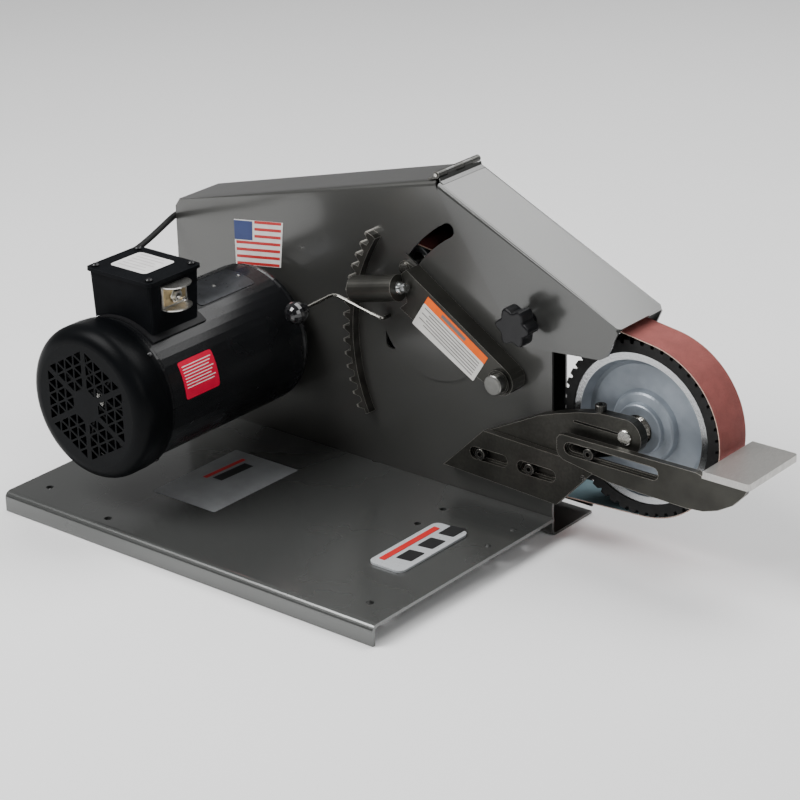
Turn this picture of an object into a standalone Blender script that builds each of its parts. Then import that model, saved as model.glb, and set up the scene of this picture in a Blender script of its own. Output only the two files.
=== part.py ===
"""Bench-top belt grinder with a rubber-faced contact wheel, built as separate working pieces.

Frame: +X runs along the machine towards the contact wheel, +Y away from the motor, +Z up.
The origin is at the middle of the machine's bounding box, on the bench (Z = 0).
All sizes are in metres; the driving dimensions are the named constants below.
"""
import math

import bmesh
import bpy
from mathutils import Vector

MM = 0.001
GAP = 0.3 * MM

# ---------------------------------------------------------------- driving dimensions
# base plate: bent sheet with a downward flange along its front and rear
BASE_X = (-404.5 * MM, 147.5 * MM)
BASE_Y = (-201.0 * MM, 118.0 * MM)
BASE_TOP = 24.0 * MM
BASE_SHEET = 4.0 * MM
BASE_BEND = 8.0 * MM
BENCH_HOLES = ((-371.5, -161.0), (-257.5, -180.0), (111.5, -161.0))
ACCESSORY_HOLES = ((130.0, 19.0), (128.5, 67.0), (32.5, 63.0), (32.5, 17.0))
BENCH_HOLE_RADIUS = 4.5 * MM
ACCESSORY_HOLE_RADIUS = 4.0 * MM

# belt housing: folded sheet, open at the front where the contact wheel stands
NEAR_Y = 118.5 * MM
FAR_Y = 198.0 * MM
SHEET = 3.0 * MM
HOUSING_LEFT = -417.5 * MM
HOUSING_RIGHT = 144.5 * MM
LEFT_TOP = 288.0 * MM
PEAK = (-16.0 * MM, 391.0 * MM)
NEAR_FRONT_TOP = 303.0 * MM
HOUSING_BEND = 7.0 * MM
COVER_FRONT_X = 107.5 * MM

# hinged front guard
HINGE = (-14.5 * MM, 396.0 * MM)
HINGE_BARREL = 4.0 * MM
HINGE_PIN = 2.0 * MM
GUARD_SHEET = 2.5 * MM
GUARD_TOP = ((-9.5 * MM, 388.6 * MM), (235.0 * MM, 271.3 * MM))
GUARD_BOTTOM = ((220.3 * MM, 237.5 * MM), (210.0 * MM, 231.0 * MM), (101.5 * MM, 222.0 * MM),
                (-9.5 * MM, 379.0 * MM))
KNOB = (118.0 * MM, 258.0 * MM)
KNOB_LOBES = 6

# belt path: contact wheel, drive wheel on the motor shaft, tension idler
BELT_WIDTH = 50.8 * MM
BELT_THICK = 1.2 * MM
BELT_Y = (132.9 * MM, 183.7 * MM)
CONTACT = (250.5 * MM, 154.5 * MM)
CONTACT_RADIUS = 101.6 * MM
RIM_RADIUS = 87.3 * MM
MOTOR = (-279.5 * MM, 156.5 * MM)
DRIVE_RADIUS = 131.0 * MM
PIVOT = (92.5 * MM, 185.0 * MM)
IDLER_REACH = 175.5 * MM
IDLER_ANGLE = math.radians(147.0)
IDLER_RADIUS = 22.0 * MM
IDLER_BEARING = 13.0 * MM
IDLER = (PIVOT[0] + IDLER_REACH * math.cos(IDLER_ANGLE),
         PIVOT[1] + IDLER_REACH * math.sin(IDLER_ANGLE))

# arc slot that the idler axle travels in, and the toothed rack round the same pivot
SLOT_RADII = (167.0 * MM, 184.0 * MM)
SLOT_ANGLES = (math.radians(121.0), math.radians(181.0))
RACK_INNER = 224.0 * MM
RACK_ROOT = 229.5 * MM
RACK_TIP = 239.0 * MM
RACK_ANGLES = (math.radians(146.5), math.radians(205.0))
RACK_TEETH = 15
RACK_Y = (107.2 * MM, 118.2 * MM)

# tension arm: angle section seen in its own (along, across) plane from the pivot
ARM_ANGLE = math.radians(147.0)
ARM_Y = (93.0 * MM, 115.7 * MM)
ARM_SHEET = 4.0 * MM
LUG_Y = 111.2 * MM
IDLER_SEAT = 6.8 * MM
PIVOT_PIN_RADIUS = 11.7 * MM
TUBE_END = Vector((-43.0, 85.0, 267.8)) * MM
TUBE_ANGLE = math.radians(193.2)
TUBE_LENGTH = 65.0 * MM
TUBE_RADIUS = 15.5 * MM
TUBE_BORE = 12.0 * MM
SHIELD_CENTRE = (-19.2 * MM, 229.5 * MM)
SHIELD_RADIUS = 77.4 * MM
SHIELD_CUT = 12.0 * MM
SHIELD_Y = (116.0 * MM, 118.0 * MM)
LEVER_PIVOT = (-82.5 * MM, 216.0 * MM)
LEVER_Y = 102.0 * MM
LEVER_ROD = 2.1 * MM
LEVER_BEND = (-153.8 * MM, 230.7 * MM)
BALL = Vector((-157.0, 39.0, 226.4)) * MM
BALL_RADIUS = 13.5 * MM

# motor, lying along Y with its fan end towards the front of the base
SHELL_RADIUS = 85.0 * MM
SHELL_Y = (-126.0 * MM, 91.7 * MM)
FAN_COVER_RADIUS = 90.5 * MM
FAN_COVER_Y = (-180.5 * MM, -134.0 * MM)
FAN_COVER_WALL = 2.5 * MM
SHAFT_RADIUS = 7.9 * MM

# conduit box on top of the motor shell, with the toggle switch on its +X side
BOX_X = (-325.0 * MM, -230.5 * MM)
BOX_Y = (-118.5 * MM, -39.5 * MM)
BOX_TOP = 289.7 * MM
BOX_WALL = 2.5 * MM
BOX_TAPER = 3.0 * MM
LID_X = (-328.0 * MM, -227.5 * MM)
LID_Y = (-121.5 * MM, -36.5 * MM)
LID_Z = (290.0 * MM, 294.0 * MM)
SWITCH = Vector((-228.7, -82.0, 270.0)) * MM

# contact wheel arm, rest bracket and work rest, stacked in front of the near side plate
ARM_BLOCK_Y = (105.5 * MM, 118.2 * MM)
BOSS_Y = (105.5 * MM, 122.0 * MM)
BOSS_NECK = 15.7 * MM
BOSS_RADIUS = 21.0 * MM
AXLE_RADIUS = 8.5 * MM
PINCH = (214.5 * MM, 112.0 * MM)
BRACKET_Y = (97.2 * MM, 105.2 * MM)
REST_Y = (89.0 * MM, 96.9 * MM)
TABLE_X = (360.5 * MM, 417.5 * MM)
TABLE_Y = (89.0 * MM, 186.0 * MM)
TABLE_Z = (142.5 * MM, 150.5 * MM)
BRACKET_SLOTS = (72.0 * MM, 138.0 * MM)
BRACKET_SLOT_Z = 87.0 * MM
BRACKET_SLOT_HALF = 19.0 * MM
BRACKET_SCREWS = ((60.0 * MM, 87.0 * MM), (128.4 * MM, 87.0 * MM))
REST_SLOT = ((189.5 * MM, 131.0 * MM), (297.5 * MM, 131.0 * MM))
REST_SCREW = (214.3 * MM, 131.0 * MM)
SLOT_WIDE = 7.6 * MM
SLOT_NARROW = 4.4 * MM
CAP_RADIUS = 6.6 * MM
SCREW_RADIUS = 4.0 * MM

# mains cord: leaves the box, passes a clip on the housing's left end, drops to the bench
CORD_DIAMETER = 7.5 * MM
CORD_ROUTE = [Vector(p) * MM for p in (
    (-362, -66, 260), (-370, -64, 260), (-379, -55, 259.5), (-383, -41, 259), (-384, -22, 258.5),
    (-386, 2, 259), (-390, 28, 261), (-397, 55, 264), (-407, 82, 265.5), (-417, 106, 266),
    (-424.5, 124, 265.6), (-427, 138, 265.1), (-427, 152, 264.9), (-427, 167, 260), (-427, 183, 249),
    (-427, 196, 230),
    (-427, 205, 203), (-427, 209, 168), (-427, 211, 130), (-426, 213, 90), (-424, 217, 56),
    (-419, 225, 29), (-409, 237, 11), (-394, 246, 5), (-376, 253, 4), (-354, 258.5, 4),
    (-331, 260.5, 4))]
COIL_CENTRE = (-331.0 * MM, 320.0 * MM)
COIL_INNER = 31.5 * MM
COIL_OUTER = 54.5 * MM
COIL_HEIGHT = 15.6 * MM
PLUG_START = Vector((-262.0, 273.0, 14.7)) * MM


# ---------------------------------------------------------------- building helpers
def clear_scene():
    """Remove every object that the script may have been opened with."""
    for old in list(bpy.data.objects):
        bpy.data.objects.remove(old, do_unlink=True)


def material(name, colour, roughness, metallic=0.0):
    """A plain Principled material."""
    mat = bpy.data.materials.get(name)
    if mat is None:
        mat = bpy.data.materials.new(name)
        mat.use_nodes = True
        shader = mat.node_tree.nodes["Principled BSDF"]
        shader.inputs["Base Color"].default_value = (*colour, 1.0)
        shader.inputs["Roughness"].default_value = roughness
        shader.inputs["Metallic"].default_value = metallic
    return mat


def grey_paint():
    return material("grey_paint", (0.13, 0.13, 0.12), 0.4, 0.3)


def black_paint():
    return material("black_paint", (0.015, 0.016, 0.018), 0.35)


def steel():
    return material("steel", (0.5, 0.5, 0.5), 0.35, 1.0)


def dark_steel():
    return material("dark_steel", (0.09, 0.088, 0.08), 0.45, 0.8)


def black_plastic():
    return material("black_plastic", (0.02, 0.02, 0.02), 0.5)


def add_object(name, bm, mat, origin=(0.0, 0.0, 0.0), sharp=35.0):
    """Turn a bmesh in world coordinates into an object whose origin is at the given point."""
    bmesh.ops.remove_doubles(bm, verts=bm.verts, dist=1e-7)
    bmesh.ops.recalc_face_normals(bm, faces=bm.faces)
    bmesh.ops.translate(bm, verts=bm.verts, vec=-Vector(origin))
    mesh = bpy.data.meshes.new(name)
    bm.to_mesh(mesh)
    bm.free()
    mesh.shade_smooth()
    mesh.set_sharp_from_angle(angle=math.radians(sharp))
    obj = bpy.data.objects.new(name, mesh)
    obj.location = origin
    bpy.context.scene.collection.objects.link(obj)
    if mat is not None:
        mesh.materials.append(mat)
    return obj


def on_axis(axis, a, b, height):
    """Place a profile point (a, b) at a height along the axis: Y takes (x, z), Z (x, y), X (y, z)."""
    if axis == "Y":
        return Vector((a, height, b))
    if axis == "Z":
        return Vector((a, b, height))
    return Vector((height, a, b))


def prism_mesh(outline, low, high, axis="Y", holes=()):
    """A flat outline, with holes if any, extruded from low to high along an axis."""
    bm = bmesh.new()
    edges = []
    for loop in (outline, *holes):
        verts = [bm.verts.new(on_axis(axis, a, b, low)) for a, b in loop]
        for i, vert in enumerate(verts):
            edges.append(bm.edges.new((vert, verts[(i + 1) % len(verts)])))
    bmesh.ops.triangle_fill(bm, edges=edges, use_beauty=True)
    top = bmesh.ops.extrude_face_region(bm, geom=list(bm.faces))
    moved = [item for item in top["geom"] if isinstance(item, bmesh.types.BMVert)]
    shift = on_axis(axis, 0.0, 0.0, high) - on_axis(axis, 0.0, 0.0, low)
    bmesh.ops.translate(bm, verts=moved, vec=shift)
    bmesh.ops.recalc_face_normals(bm, faces=bm.faces)
    return bm


def prism(name, outline, low, high, mat, axis="Y", holes=(), origin=(0.0, 0.0, 0.0)):
    return add_object(name, prism_mesh(outline, low, high, axis, holes), mat, origin)


def bevel_where(bm, chosen, width, segments=3):
    """Round the edges that a test picks out."""
    bm.edges.ensure_lookup_table()
    edges = [edge for edge in bm.edges if chosen(edge.verts[0].co, edge.verts[1].co)]
    bmesh.ops.bevel(bm, geom=edges, offset=width, segments=segments, affect="EDGES", profile=0.5)


def lathe_mesh(profile, centre, axis="Y", steps=40):
    """Turn a (radius, height) profile about an axis. A profile without a pole closes on itself."""
    bm = bmesh.new()
    rings = []
    for radius, height in profile:
        if radius <= 0.0:
            rings.append([bm.verts.new(on_axis(axis, centre[0], centre[1], height))])
            continue
        ring = []
        for step in range(steps):
            turn = 2.0 * math.pi * step / steps
            a = centre[0] + radius * math.cos(turn)
            b = centre[1] + radius * math.sin(turn)
            ring.append(bm.verts.new(on_axis(axis, a, b, height)))
        rings.append(ring)
    pairs = list(zip(rings, rings[1:]))
    if len(rings[0]) > 1 and len(rings[-1]) > 1:
        pairs.append((rings[-1], rings[0]))
    for first, second in pairs:
        for step in range(steps):
            after = (step + 1) % steps
            corners = [first[step % len(first)], first[after % len(first)],
                       second[after % len(second)], second[step % len(second)]]
            unique = list(dict.fromkeys(corners))
            if len(unique) > 2:
                bm.faces.new(unique)
    bmesh.ops.recalc_face_normals(bm, faces=bm.faces)
    return bm


def lathe(name, profile, centre, mat, axis="Y", steps=40, origin=(0.0, 0.0, 0.0)):
    return add_object(name, lathe_mesh(profile, centre, axis, steps), mat, origin)


def turned_along(name, profile, start, direction, mat, steps=28, origin=(0.0, 0.0, 0.0)):
    """Turn a profile about any line: its heights run from start along direction."""
    bm = lathe_mesh(profile, (0.0, 0.0), "Z", steps)
    turn = Vector(direction).to_track_quat("Z", "Y").to_matrix().to_4x4()
    turn.translation = start
    bmesh.ops.transform(bm, matrix=turn, verts=bm.verts)
    return add_object(name, bm, mat, origin)


def box_mesh(low, high):
    corners = [(low[0], low[1]), (high[0], low[1]), (high[0], high[1]), (low[0], high[1])]
    return prism_mesh(corners, low[2], high[2], "Z")


def arc(centre, radius, start, end, steps):
    """Points along an arc in a profile plane, both ends included."""
    points = []
    for step in range(steps + 1):
        turn = start + (end - start) * step / steps
        points.append((centre[0] + radius * math.cos(turn), centre[1] + radius * math.sin(turn)))
    return points


def circle(centre, radius, steps=24):
    return arc(centre, radius, 0.0, 2.0 * math.pi * (steps - 1) / steps, steps - 1)


def slot(first, second, radius, steps=6):
    """Outline of a straight slot with round ends."""
    along = math.atan2(second[1] - first[1], second[0] - first[0])
    quarter = math.pi / 2.0
    return (arc(first, radius, along + quarter, along + 3.0 * quarter, steps)
            + arc(second, radius, along - quarter, along + quarter, steps))


def cutter(name, bm):
    """A cutting solid: seen as wire, and never built."""
    obj = add_object(name, bm, None)
    obj.hide_render = True
    obj.display_type = "WIRE"
    return obj


def boolean(obj, tool, operation="DIFFERENCE"):
    mod = obj.modifiers.new(tool.name, "BOOLEAN")
    mod.object = tool
    mod.operation = operation
    mod.solver = "EXACT"


def join_solids(name, meshes, mat, origin=(0.0, 0.0, 0.0)):
    """One body out of several overlapping solids."""
    obj = add_object(name, meshes[0], mat, origin)
    for index, bm in enumerate(meshes[1:]):
        boolean(obj, cutter(f"{name}_add_{index}", bm), "UNION")
    return obj


def rod(name, points, radius, mat, resolution=2, origin=(0.0, 0.0, 0.0)):
    """A round rod or cable along a list of points, with filled ends."""
    curve = bpy.data.curves.new(name, "CURVE")
    curve.dimensions = "3D"
    curve.bevel_depth = radius
    curve.bevel_resolution = resolution
    curve.use_fill_caps = True
    spline = curve.splines.new("POLY")
    spline.points.add(len(points) - 1)
    for place, point in zip(spline.points, points):
        place.co = (*(Vector(point) - Vector(origin)), 1.0)
    curve.materials.append(mat)
    obj = bpy.data.objects.new(name, curve)
    obj.location = origin
    bpy.context.scene.collection.objects.link(obj)
    return obj


def smooth_route(points, spacing):
    """Evenly spaced points on a Catmull-Rom curve through the route's points."""
    fine = []
    for i in range(len(points) - 1):
        before = points[max(i - 1, 0)]
        start = points[i]
        end = points[i + 1]
        after = points[min(i + 2, len(points) - 1)]
        for step in range(20):
            t = step / 20.0
            fine.append(0.5 * ((2.0 * start) + (end - before) * t
                               + (2.0 * before - 5.0 * start + 4.0 * end - after) * t * t
                               + (3.0 * start - before - 3.0 * end + after) * t * t * t))
    fine.append(points[-1])
    total = sum((b - a).length for a, b in zip(fine, fine[1:]))
    count = round(total / spacing)
    even = [fine[0]]
    wanted = total / count
    walked = 0.0
    for a, b in zip(fine, fine[1:]):
        step = (b - a).length
        while walked + step >= wanted * len(even) and len(even) < count:
            even.append(a.lerp(b, (wanted * len(even) - walked) / step))
        walked += step
    even.append(fine[-1])
    return even


def tangent_loop(wheels, extra, arc_steps):
    """Outline of a belt run anticlockwise round (x, z, radius) wheels, extra outside them."""
    outline = []
    count = len(wheels)
    turns = []
    for i in range(count):
        x1, z1, r1 = wheels[i]
        x2, z2, r2 = wheels[(i + 1) % count]
        heading = math.atan2(z2 - z1, x2 - x1)
        lean = math.asin((r1 - r2) / math.hypot(x2 - x1, z2 - z1))
        turns.append(heading + lean - math.pi / 2.0)
    for i in range(count):
        x, z, radius = wheels[i]
        start = turns[i - 1]
        end = turns[i]
        while end < start:
            end += 2.0 * math.pi
        while end - start > 2.0 * math.pi:
            end -= 2.0 * math.pi
        outline += arc((x, z), radius + extra, start, end, arc_steps[i])
    return outline


def arm_point(along, across):
    """A point of the tension arm's own plane, in world (x, z)."""
    return (PIVOT[0] + along * math.cos(ARM_ANGLE) + across * math.sin(ARM_ANGLE),
            PIVOT[1] + along * math.sin(ARM_ANGLE) - across * math.cos(ARM_ANGLE))


def top_line(x):
    """Height of the housing's outer top sheet."""
    slope = (PEAK[1] - LEFT_TOP) / (PEAK[0] - HOUSING_LEFT)
    return LEFT_TOP + slope * (x - HOUSING_LEFT)


# ---------------------------------------------------------------- base and housing
def base_plate():
    """Flat sheet with its front edge folded down to the bench."""
    low_y, high_y = BASE_Y
    bend = (low_y + BASE_BEND, BASE_TOP - BASE_BEND)
    outer = arc(bend, BASE_BEND, math.pi, math.pi / 2.0, 6)
    inner = arc(bend, BASE_BEND - BASE_SHEET, math.pi / 2.0, math.pi, 4)
    profile = ([(low_y, 0.0)] + outer + [(high_y, BASE_TOP), (high_y, BASE_TOP - BASE_SHEET)]
               + inner + [(low_y + BASE_SHEET, 0.0)])
    base = prism("base_plate", profile, BASE_X[0], BASE_X[1], grey_paint(), "X")
    holes = [(x, y, BENCH_HOLE_RADIUS) for x, y in BENCH_HOLES]
    holes += [(x, y, ACCESSORY_HOLE_RADIUS) for x, y in ACCESSORY_HOLES]
    for index, (x, y, radius) in enumerate(holes):
        drill = prism_mesh(circle((x * MM, y * MM), radius, 16), 10.0 * MM, 40.0 * MM, "Z")
        boolean(base, cutter(f"base_hole_{index}", drill))
    return base


def base_badge():
    """Raised plate with round corners on the base."""
    low = (50.0 * MM, -92.0 * MM)
    high = (97.0 * MM, 29.0 * MM)
    corner = 9.0 * MM
    quarter = math.pi / 2.0
    outline = []
    corners = ((high[0] - corner, high[1] - corner), (low[0] + corner, high[1] - corner),
               (low[0] + corner, low[1] + corner), (high[0] - corner, low[1] + corner))
    for index, centre in enumerate(corners):
        outline += arc(centre, corner, index * quarter, (index + 1) * quarter, 5)
    bottom = BASE_TOP + GAP
    return prism("base_badge", outline, bottom, bottom + 2.5 * MM,
                 material("badge_silver", (0.7, 0.7, 0.7), 0.3, 0.9), "Z")


def arc_slot_outline():
    middle = (SLOT_RADII[0] + SLOT_RADII[1]) / 2.0
    half = (SLOT_RADII[1] - SLOT_RADII[0]) / 2.0
    start, end = SLOT_ANGLES
    first = (PIVOT[0] + middle * math.cos(start), PIVOT[1] + middle * math.sin(start))
    last = (PIVOT[0] + middle * math.cos(end), PIVOT[1] + middle * math.sin(end))
    outer = arc(PIVOT, SLOT_RADII[1], start, end, 16)
    end_cap = arc(last, half, end, end + math.pi, 6)[1:-1]
    inner = arc(PIVOT, SLOT_RADII[0], end, start, 16)
    start_cap = arc(first, half, start + math.pi, start + 2.0 * math.pi, 6)[1:-1]
    return outer + end_cap + inner + start_cap


def housing_body():
    """Near side plate, top, left end and bottom flange, folded from one sheet."""
    outline = [(HOUSING_LEFT, 0.0), (HOUSING_RIGHT, 0.0), (HOUSING_RIGHT, NEAR_FRONT_TOP),
               (PEAK[0] + 4.0 * MM, 379.0 * MM), PEAK, (HOUSING_LEFT, LEFT_TOP)]
    bm = prism_mesh(outline, NEAR_Y, FAR_Y - SHEET)

    def folded(a, b):
        near = max(a.y, b.y) < NEAR_Y + MM
        on_top = abs(a.z - top_line(a.x)) < MM and abs(b.z - top_line(b.x)) < MM
        on_bottom = max(a.z, b.z) < MM
        return near and (on_top or on_bottom)

    bevel_where(bm, folded, HOUSING_BEND, 4)
    body = add_object("housing_body", bm, grey_paint())
    inside = [(HOUSING_LEFT + SHEET, SHEET), (HOUSING_RIGHT + 20.0 * MM, SHEET),
              (HOUSING_RIGHT + 20.0 * MM, 450.0 * MM), (PEAK[0], 450.0 * MM),
              (PEAK[0], PEAK[1] - 1.032 * SHEET), (HOUSING_LEFT + SHEET, LEFT_TOP - 0.78 * SHEET)]
    bm = prism_mesh(inside, NEAR_Y + SHEET, FAR_Y + 20.0 * MM)

    def inner_fold(a, b):
        near = max(a.y, b.y) < NEAR_Y + SHEET + MM
        on_top = min(a.z, b.z) > LEFT_TOP - 5.0 * MM and max(a.z, b.z) < PEAK[1]
        on_bottom = max(a.z, b.z) < SHEET + MM
        return near and (on_top or on_bottom) and abs(a.x - b.x) > 50.0 * MM

    bevel_where(bm, inner_fold, HOUSING_BEND - SHEET, 3)
    boolean(body, cutter("housing_inside", bm))
    through = (NEAR_Y - 5.0 * MM, NEAR_Y + SHEET + 5.0 * MM)
    boolean(body, cutter("housing_slot", prism_mesh(arc_slot_outline(), *through)))
    boolean(body, cutter("housing_motor_hole", prism_mesh(circle(MOTOR, 40.0 * MM, 32), *through)))
    pin_hole = prism_mesh(circle(PIVOT, PIVOT_PIN_RADIUS + GAP, 28), *through)
    boolean(body, cutter("housing_pivot_hole", pin_hole))
    return body


def back_cover():
    """Flat far side of the housing, cut back behind the contact wheel."""
    top_gap = 0.6 * MM
    outline = [(HOUSING_LEFT, 8.0 * MM), (HOUSING_RIGHT, 8.0 * MM), (HOUSING_RIGHT, 46.0 * MM),
               (COVER_FRONT_X, 70.0 * MM), (COVER_FRONT_X, 324.0 * MM), (PEAK[0], 384.0 * MM),
               (PEAK[0], top_line(PEAK[0]) - top_gap), (HOUSING_LEFT, LEFT_TOP - top_gap)]
    return prism("back_cover", outline, FAR_Y - SHEET + GAP, FAR_Y, grey_paint())


def knuckles(spans):
    """Hinge barrels of one leaf: short bored tubes."""
    bore = circle(HINGE, HINGE_PIN + GAP, 16)
    return [prism_mesh(circle(HINGE, HINGE_BARREL, 20), low, high, "Y", (bore,)) for low, high in spans]


def hinge_spans(first):
    """Five barrels across the housing, shared in turn by the two leaves."""
    length = 15.2 * MM
    return [(120.0 * MM + i * length + 0.25 * MM, 120.0 * MM + (i + 1) * length - 0.25 * MM)
            for i in range(first, 5, 2)]


def hinge_feet(offsets, spans):
    """Curled strips between the barrels and their leaf, drawn from the hinge axis."""
    outline = [(HINGE[0] + dx * MM, HINGE[1] + dz * MM) for dx, dz in offsets]
    return [prism_mesh(outline, low, high) for low, high in spans]


def hinge_fixed_leaf():
    """Leaf on the housing's top, with three of the five barrels."""
    lift = 0.4 * MM
    thick = 1.6 * MM
    right, left = HINGE[0] - 5.5 * MM, HINGE[0] - 12.0 * MM
    strip = [(right, top_line(right) + lift), (left, top_line(left) + lift),
             (left, top_line(left) + lift + thick), (right, top_line(right) + lift + thick)]
    leaf = prism_mesh(strip, 120.25 * MM, 195.75 * MM)
    foot = ((-3.7, 0.0), (-0.3, -3.0), (-1.3, -4.5), (-8.0, -6.1), (-8.2, -4.5), (-4.5, -3.4))
    spans = hinge_spans(0)
    return join_solids("hinge_fixed_leaf", [leaf] + hinge_feet(foot, spans) + knuckles(spans), dark_steel())


def hinge_pin():
    profile = [(0.0, 118.8 * MM), (HINGE_PIN, 118.8 * MM), (HINGE_PIN, 197.2 * MM), (0.0, 197.2 * MM)]
    return lathe("hinge_pin", profile, HINGE, steel(), steps=16)


def guard_outline(drop, reach):
    """Side outline of the guard, its top edge lowered by drop and its other sides grown by reach."""
    (x1, z1), (x2, z2) = GUARD_TOP
    slope = math.atan2(z2 - z1, x2 - x1)
    lower = drop / math.cos(slope)
    outline = [(x1 - reach, z1 - lower - reach * math.tan(slope)),
               (x2 + reach, z2 - lower + reach * math.tan(slope))]
    if reach > 0.0:
        return outline + [(x2 + reach, 150.0 * MM), (x1 - reach, 150.0 * MM)]
    return outline + list(GUARD_BOTTOM)


def front_guard():
    """U-shaped cover over the belt's top run, with its own hinge barrels."""
    near = NEAR_Y - GAP - GUARD_SHEET
    far = FAR_Y + GAP + GUARD_SHEET
    bm = prism_mesh(guard_outline(0.0, 0.0), near, far)
    slope = (GUARD_TOP[1][1] - GUARD_TOP[0][1]) / (GUARD_TOP[1][0] - GUARD_TOP[0][0])

    def top_edges(a, b):
        same_side = abs(a.y - b.y) < MM
        level = [abs(p.z - GUARD_TOP[0][1] - slope * (p.x - GUARD_TOP[0][0])) < MM for p in (a, b)]
        return same_side and all(level)

    bevel_where(bm, top_edges, 5.0 * MM, 3)
    origin = (HINGE[0], NEAR_Y, HINGE[1])
    guard = add_object("front_guard", bm, grey_paint(), origin)
    hollow = prism_mesh(guard_outline(GUARD_SHEET, 30.0 * MM), near + GUARD_SHEET, far - GUARD_SHEET)
    bevel_where(hollow, lambda a, b: abs(a.y - b.y) < MM and min(a.z, b.z) > 200.0 * MM
                and abs(a.x - b.x) > 100.0 * MM, 2.5 * MM, 3)
    boolean(guard, cutter("guard_hollow", hollow))
    foot = ((1.5, -2.0), (4.7, -8.1), (9.5, -10.6), (9.7, -9.2), (5.6, -6.6), (3.7, 0.0))
    lip = ((3.7, -3.5), (4.7, -8.1), (9.5, -10.6), (9.7, -9.2), (5.9, -6.2), (4.7, -2.4))
    spans = hinge_spans(1)
    lips = hinge_feet(lip, [(120.6 * MM, 195.4 * MM)])
    for index, bm in enumerate(lips + hinge_feet(foot, spans) + knuckles(spans)):
        boolean(guard, cutter(f"guard_hinge_{index}", bm), "UNION")
    bore = prism_mesh(circle(HINGE, HINGE_PIN + GAP, 16), 118.0 * MM, 198.0 * MM)
    boolean(guard, cutter("guard_bore", bore))
    hole = prism_mesh(circle(KNOB, 4.5 * MM, 16), 110.0 * MM, 125.0 * MM)
    boolean(guard, cutter("guard_knob_hole", hole))
    return guard


def guard_knob():
    """Lobed hand knob that clamps the guard shut."""
    outline = []
    steps = 42
    for step in range(steps):
        turn = 2.0 * math.pi * step / steps
        radius = (20.0 + 3.0 * math.cos(KNOB_LOBES * turn)) * MM
        outline.append((KNOB[0] + radius * math.cos(turn), KNOB[1] + radius * math.sin(turn)))
    bm = prism_mesh(outline, 80.0 * MM, 101.0 * MM)
    bevel_where(bm, lambda a, b: abs(a.y - b.y) < 0.1 * MM and (a.y < 80.5 * MM or a.y > 100.5 * MM)
                and (Vector((a.x - KNOB[0], a.z - KNOB[1])).length > 15.0 * MM)
                and (Vector((b.x - KNOB[0], b.z - KNOB[1])).length > 15.0 * MM)
                and (a - b).length < 4.5 * MM, 2.0 * MM, 2)
    stem_profile = [(4.0 * MM + GAP, 100.5 * MM), (11.0 * MM, 100.5 * MM), (8.0 * MM, 115.3 * MM),
                    (4.0 * MM + GAP, 115.3 * MM)]
    origin = (KNOB[0], NEAR_Y, KNOB[1])
    knob = join_solids("guard_knob", [bm, lathe_mesh(stem_profile, KNOB, steps=24)],
                       black_plastic(), origin)
    bore = prism_mesh(circle(KNOB, 4.0 * MM + GAP, 16), 88.0 * MM, 120.0 * MM)
    boolean(knob, cutter("knob_bore", bore))
    return knob


def guard_stud():
    profile = [(0.0, 88.5 * MM), (4.0 * MM, 88.5 * MM), (4.0 * MM, 117.2 * MM), (3.2 * MM, 118.1 * MM),
               (0.0, 118.1 * MM)]
    return lathe("guard_stud", profile, KNOB, steel(), steps=16, origin=(KNOB[0], NEAR_Y, KNOB[1]))


# ---------------------------------------------------------------- tension arm
def arm_outline():
    """The arm narrows towards its pivot and is cut square to the spring tube at its other end."""
    pivot_end = [arm_point(17.0 * MM * math.cos(t), 17.0 * MM * math.sin(t))
                 for t in (math.radians(d) for d in range(-110, -271, -20))]
    end_cut = Vector((math.cos(TUBE_ANGLE - math.pi / 2.0), math.sin(TUBE_ANGLE - math.pi / 2.0)))
    cut = Vector((TUBE_END.x + 0.6 * MM, TUBE_END.z))
    low_corner = cut - end_cut * 19.5 * MM
    high_corner = cut + end_cut * 14.0 * MM
    rounded = [arm_point(165.5 * MM, 15.0 * MM), arm_point(150.0 * MM, 15.0 * MM)]
    rest = [arm_point(100.0 * MM, -27.5 * MM), arm_point(148.0 * MM, -30.5 * MM)]
    return pivot_end[::-1] + rest + [tuple(low_corner), tuple(high_corner)] + rounded


def tension_arm():
    """Angle-section arm: a face plate, with a flange along its top edge and round its pivot end."""
    origin = (PIVOT[0], ARM_Y[0], PIVOT[1])
    arm = prism("tension_arm", arm_outline(), ARM_Y[0], ARM_Y[1], grey_paint(), origin=origin)
    inner = 13.0 * MM
    hollow = [arm_point(-inner, -60.0 * MM), arm_point(-inner, -2.0 * MM)]
    hollow += [arm_point(-inner * math.cos(t), inner * math.sin(t)) for t in
               (math.radians(d) for d in (20, 40, 60, 80))]
    hollow += [arm_point(20.0 * MM, 11.0 * MM), arm_point(260.0 * MM, 11.0 * MM),
               arm_point(260.0 * MM, -60.0 * MM)]
    boolean(arm, cutter("arm_hollow", prism_mesh(hollow, ARM_Y[0] + ARM_SHEET, 140.0 * MM)))
    bore = prism_mesh(circle(PIVOT, PIVOT_PIN_RADIUS + GAP, 28), 80.0 * MM, 140.0 * MM)
    boolean(arm, cutter("arm_bore", bore))
    lug = prism_mesh(slot(IDLER, arm_point(146.0 * MM, 5.5 * MM), 8.8 * MM, 10), LUG_Y, ARM_Y[1])
    boolean(arm, cutter("arm_lug", lug), "UNION")
    seat = prism_mesh(circle(IDLER, IDLER_SEAT + GAP, 20), LUG_Y - 3.0 * MM, 140.0 * MM)
    boolean(arm, cutter("arm_axle_seat", seat))
    return arm


def pivot_pin():
    profile = [(0.0, 78.5 * MM), (10.9 * MM, 78.5 * MM), (PIVOT_PIN_RADIUS, 79.3 * MM),
               (PIVOT_PIN_RADIUS, 127.0 * MM), (0.0, 127.0 * MM)]
    return lathe("pivot_pin", profile, PIVOT, steel(), steps=28)


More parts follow.
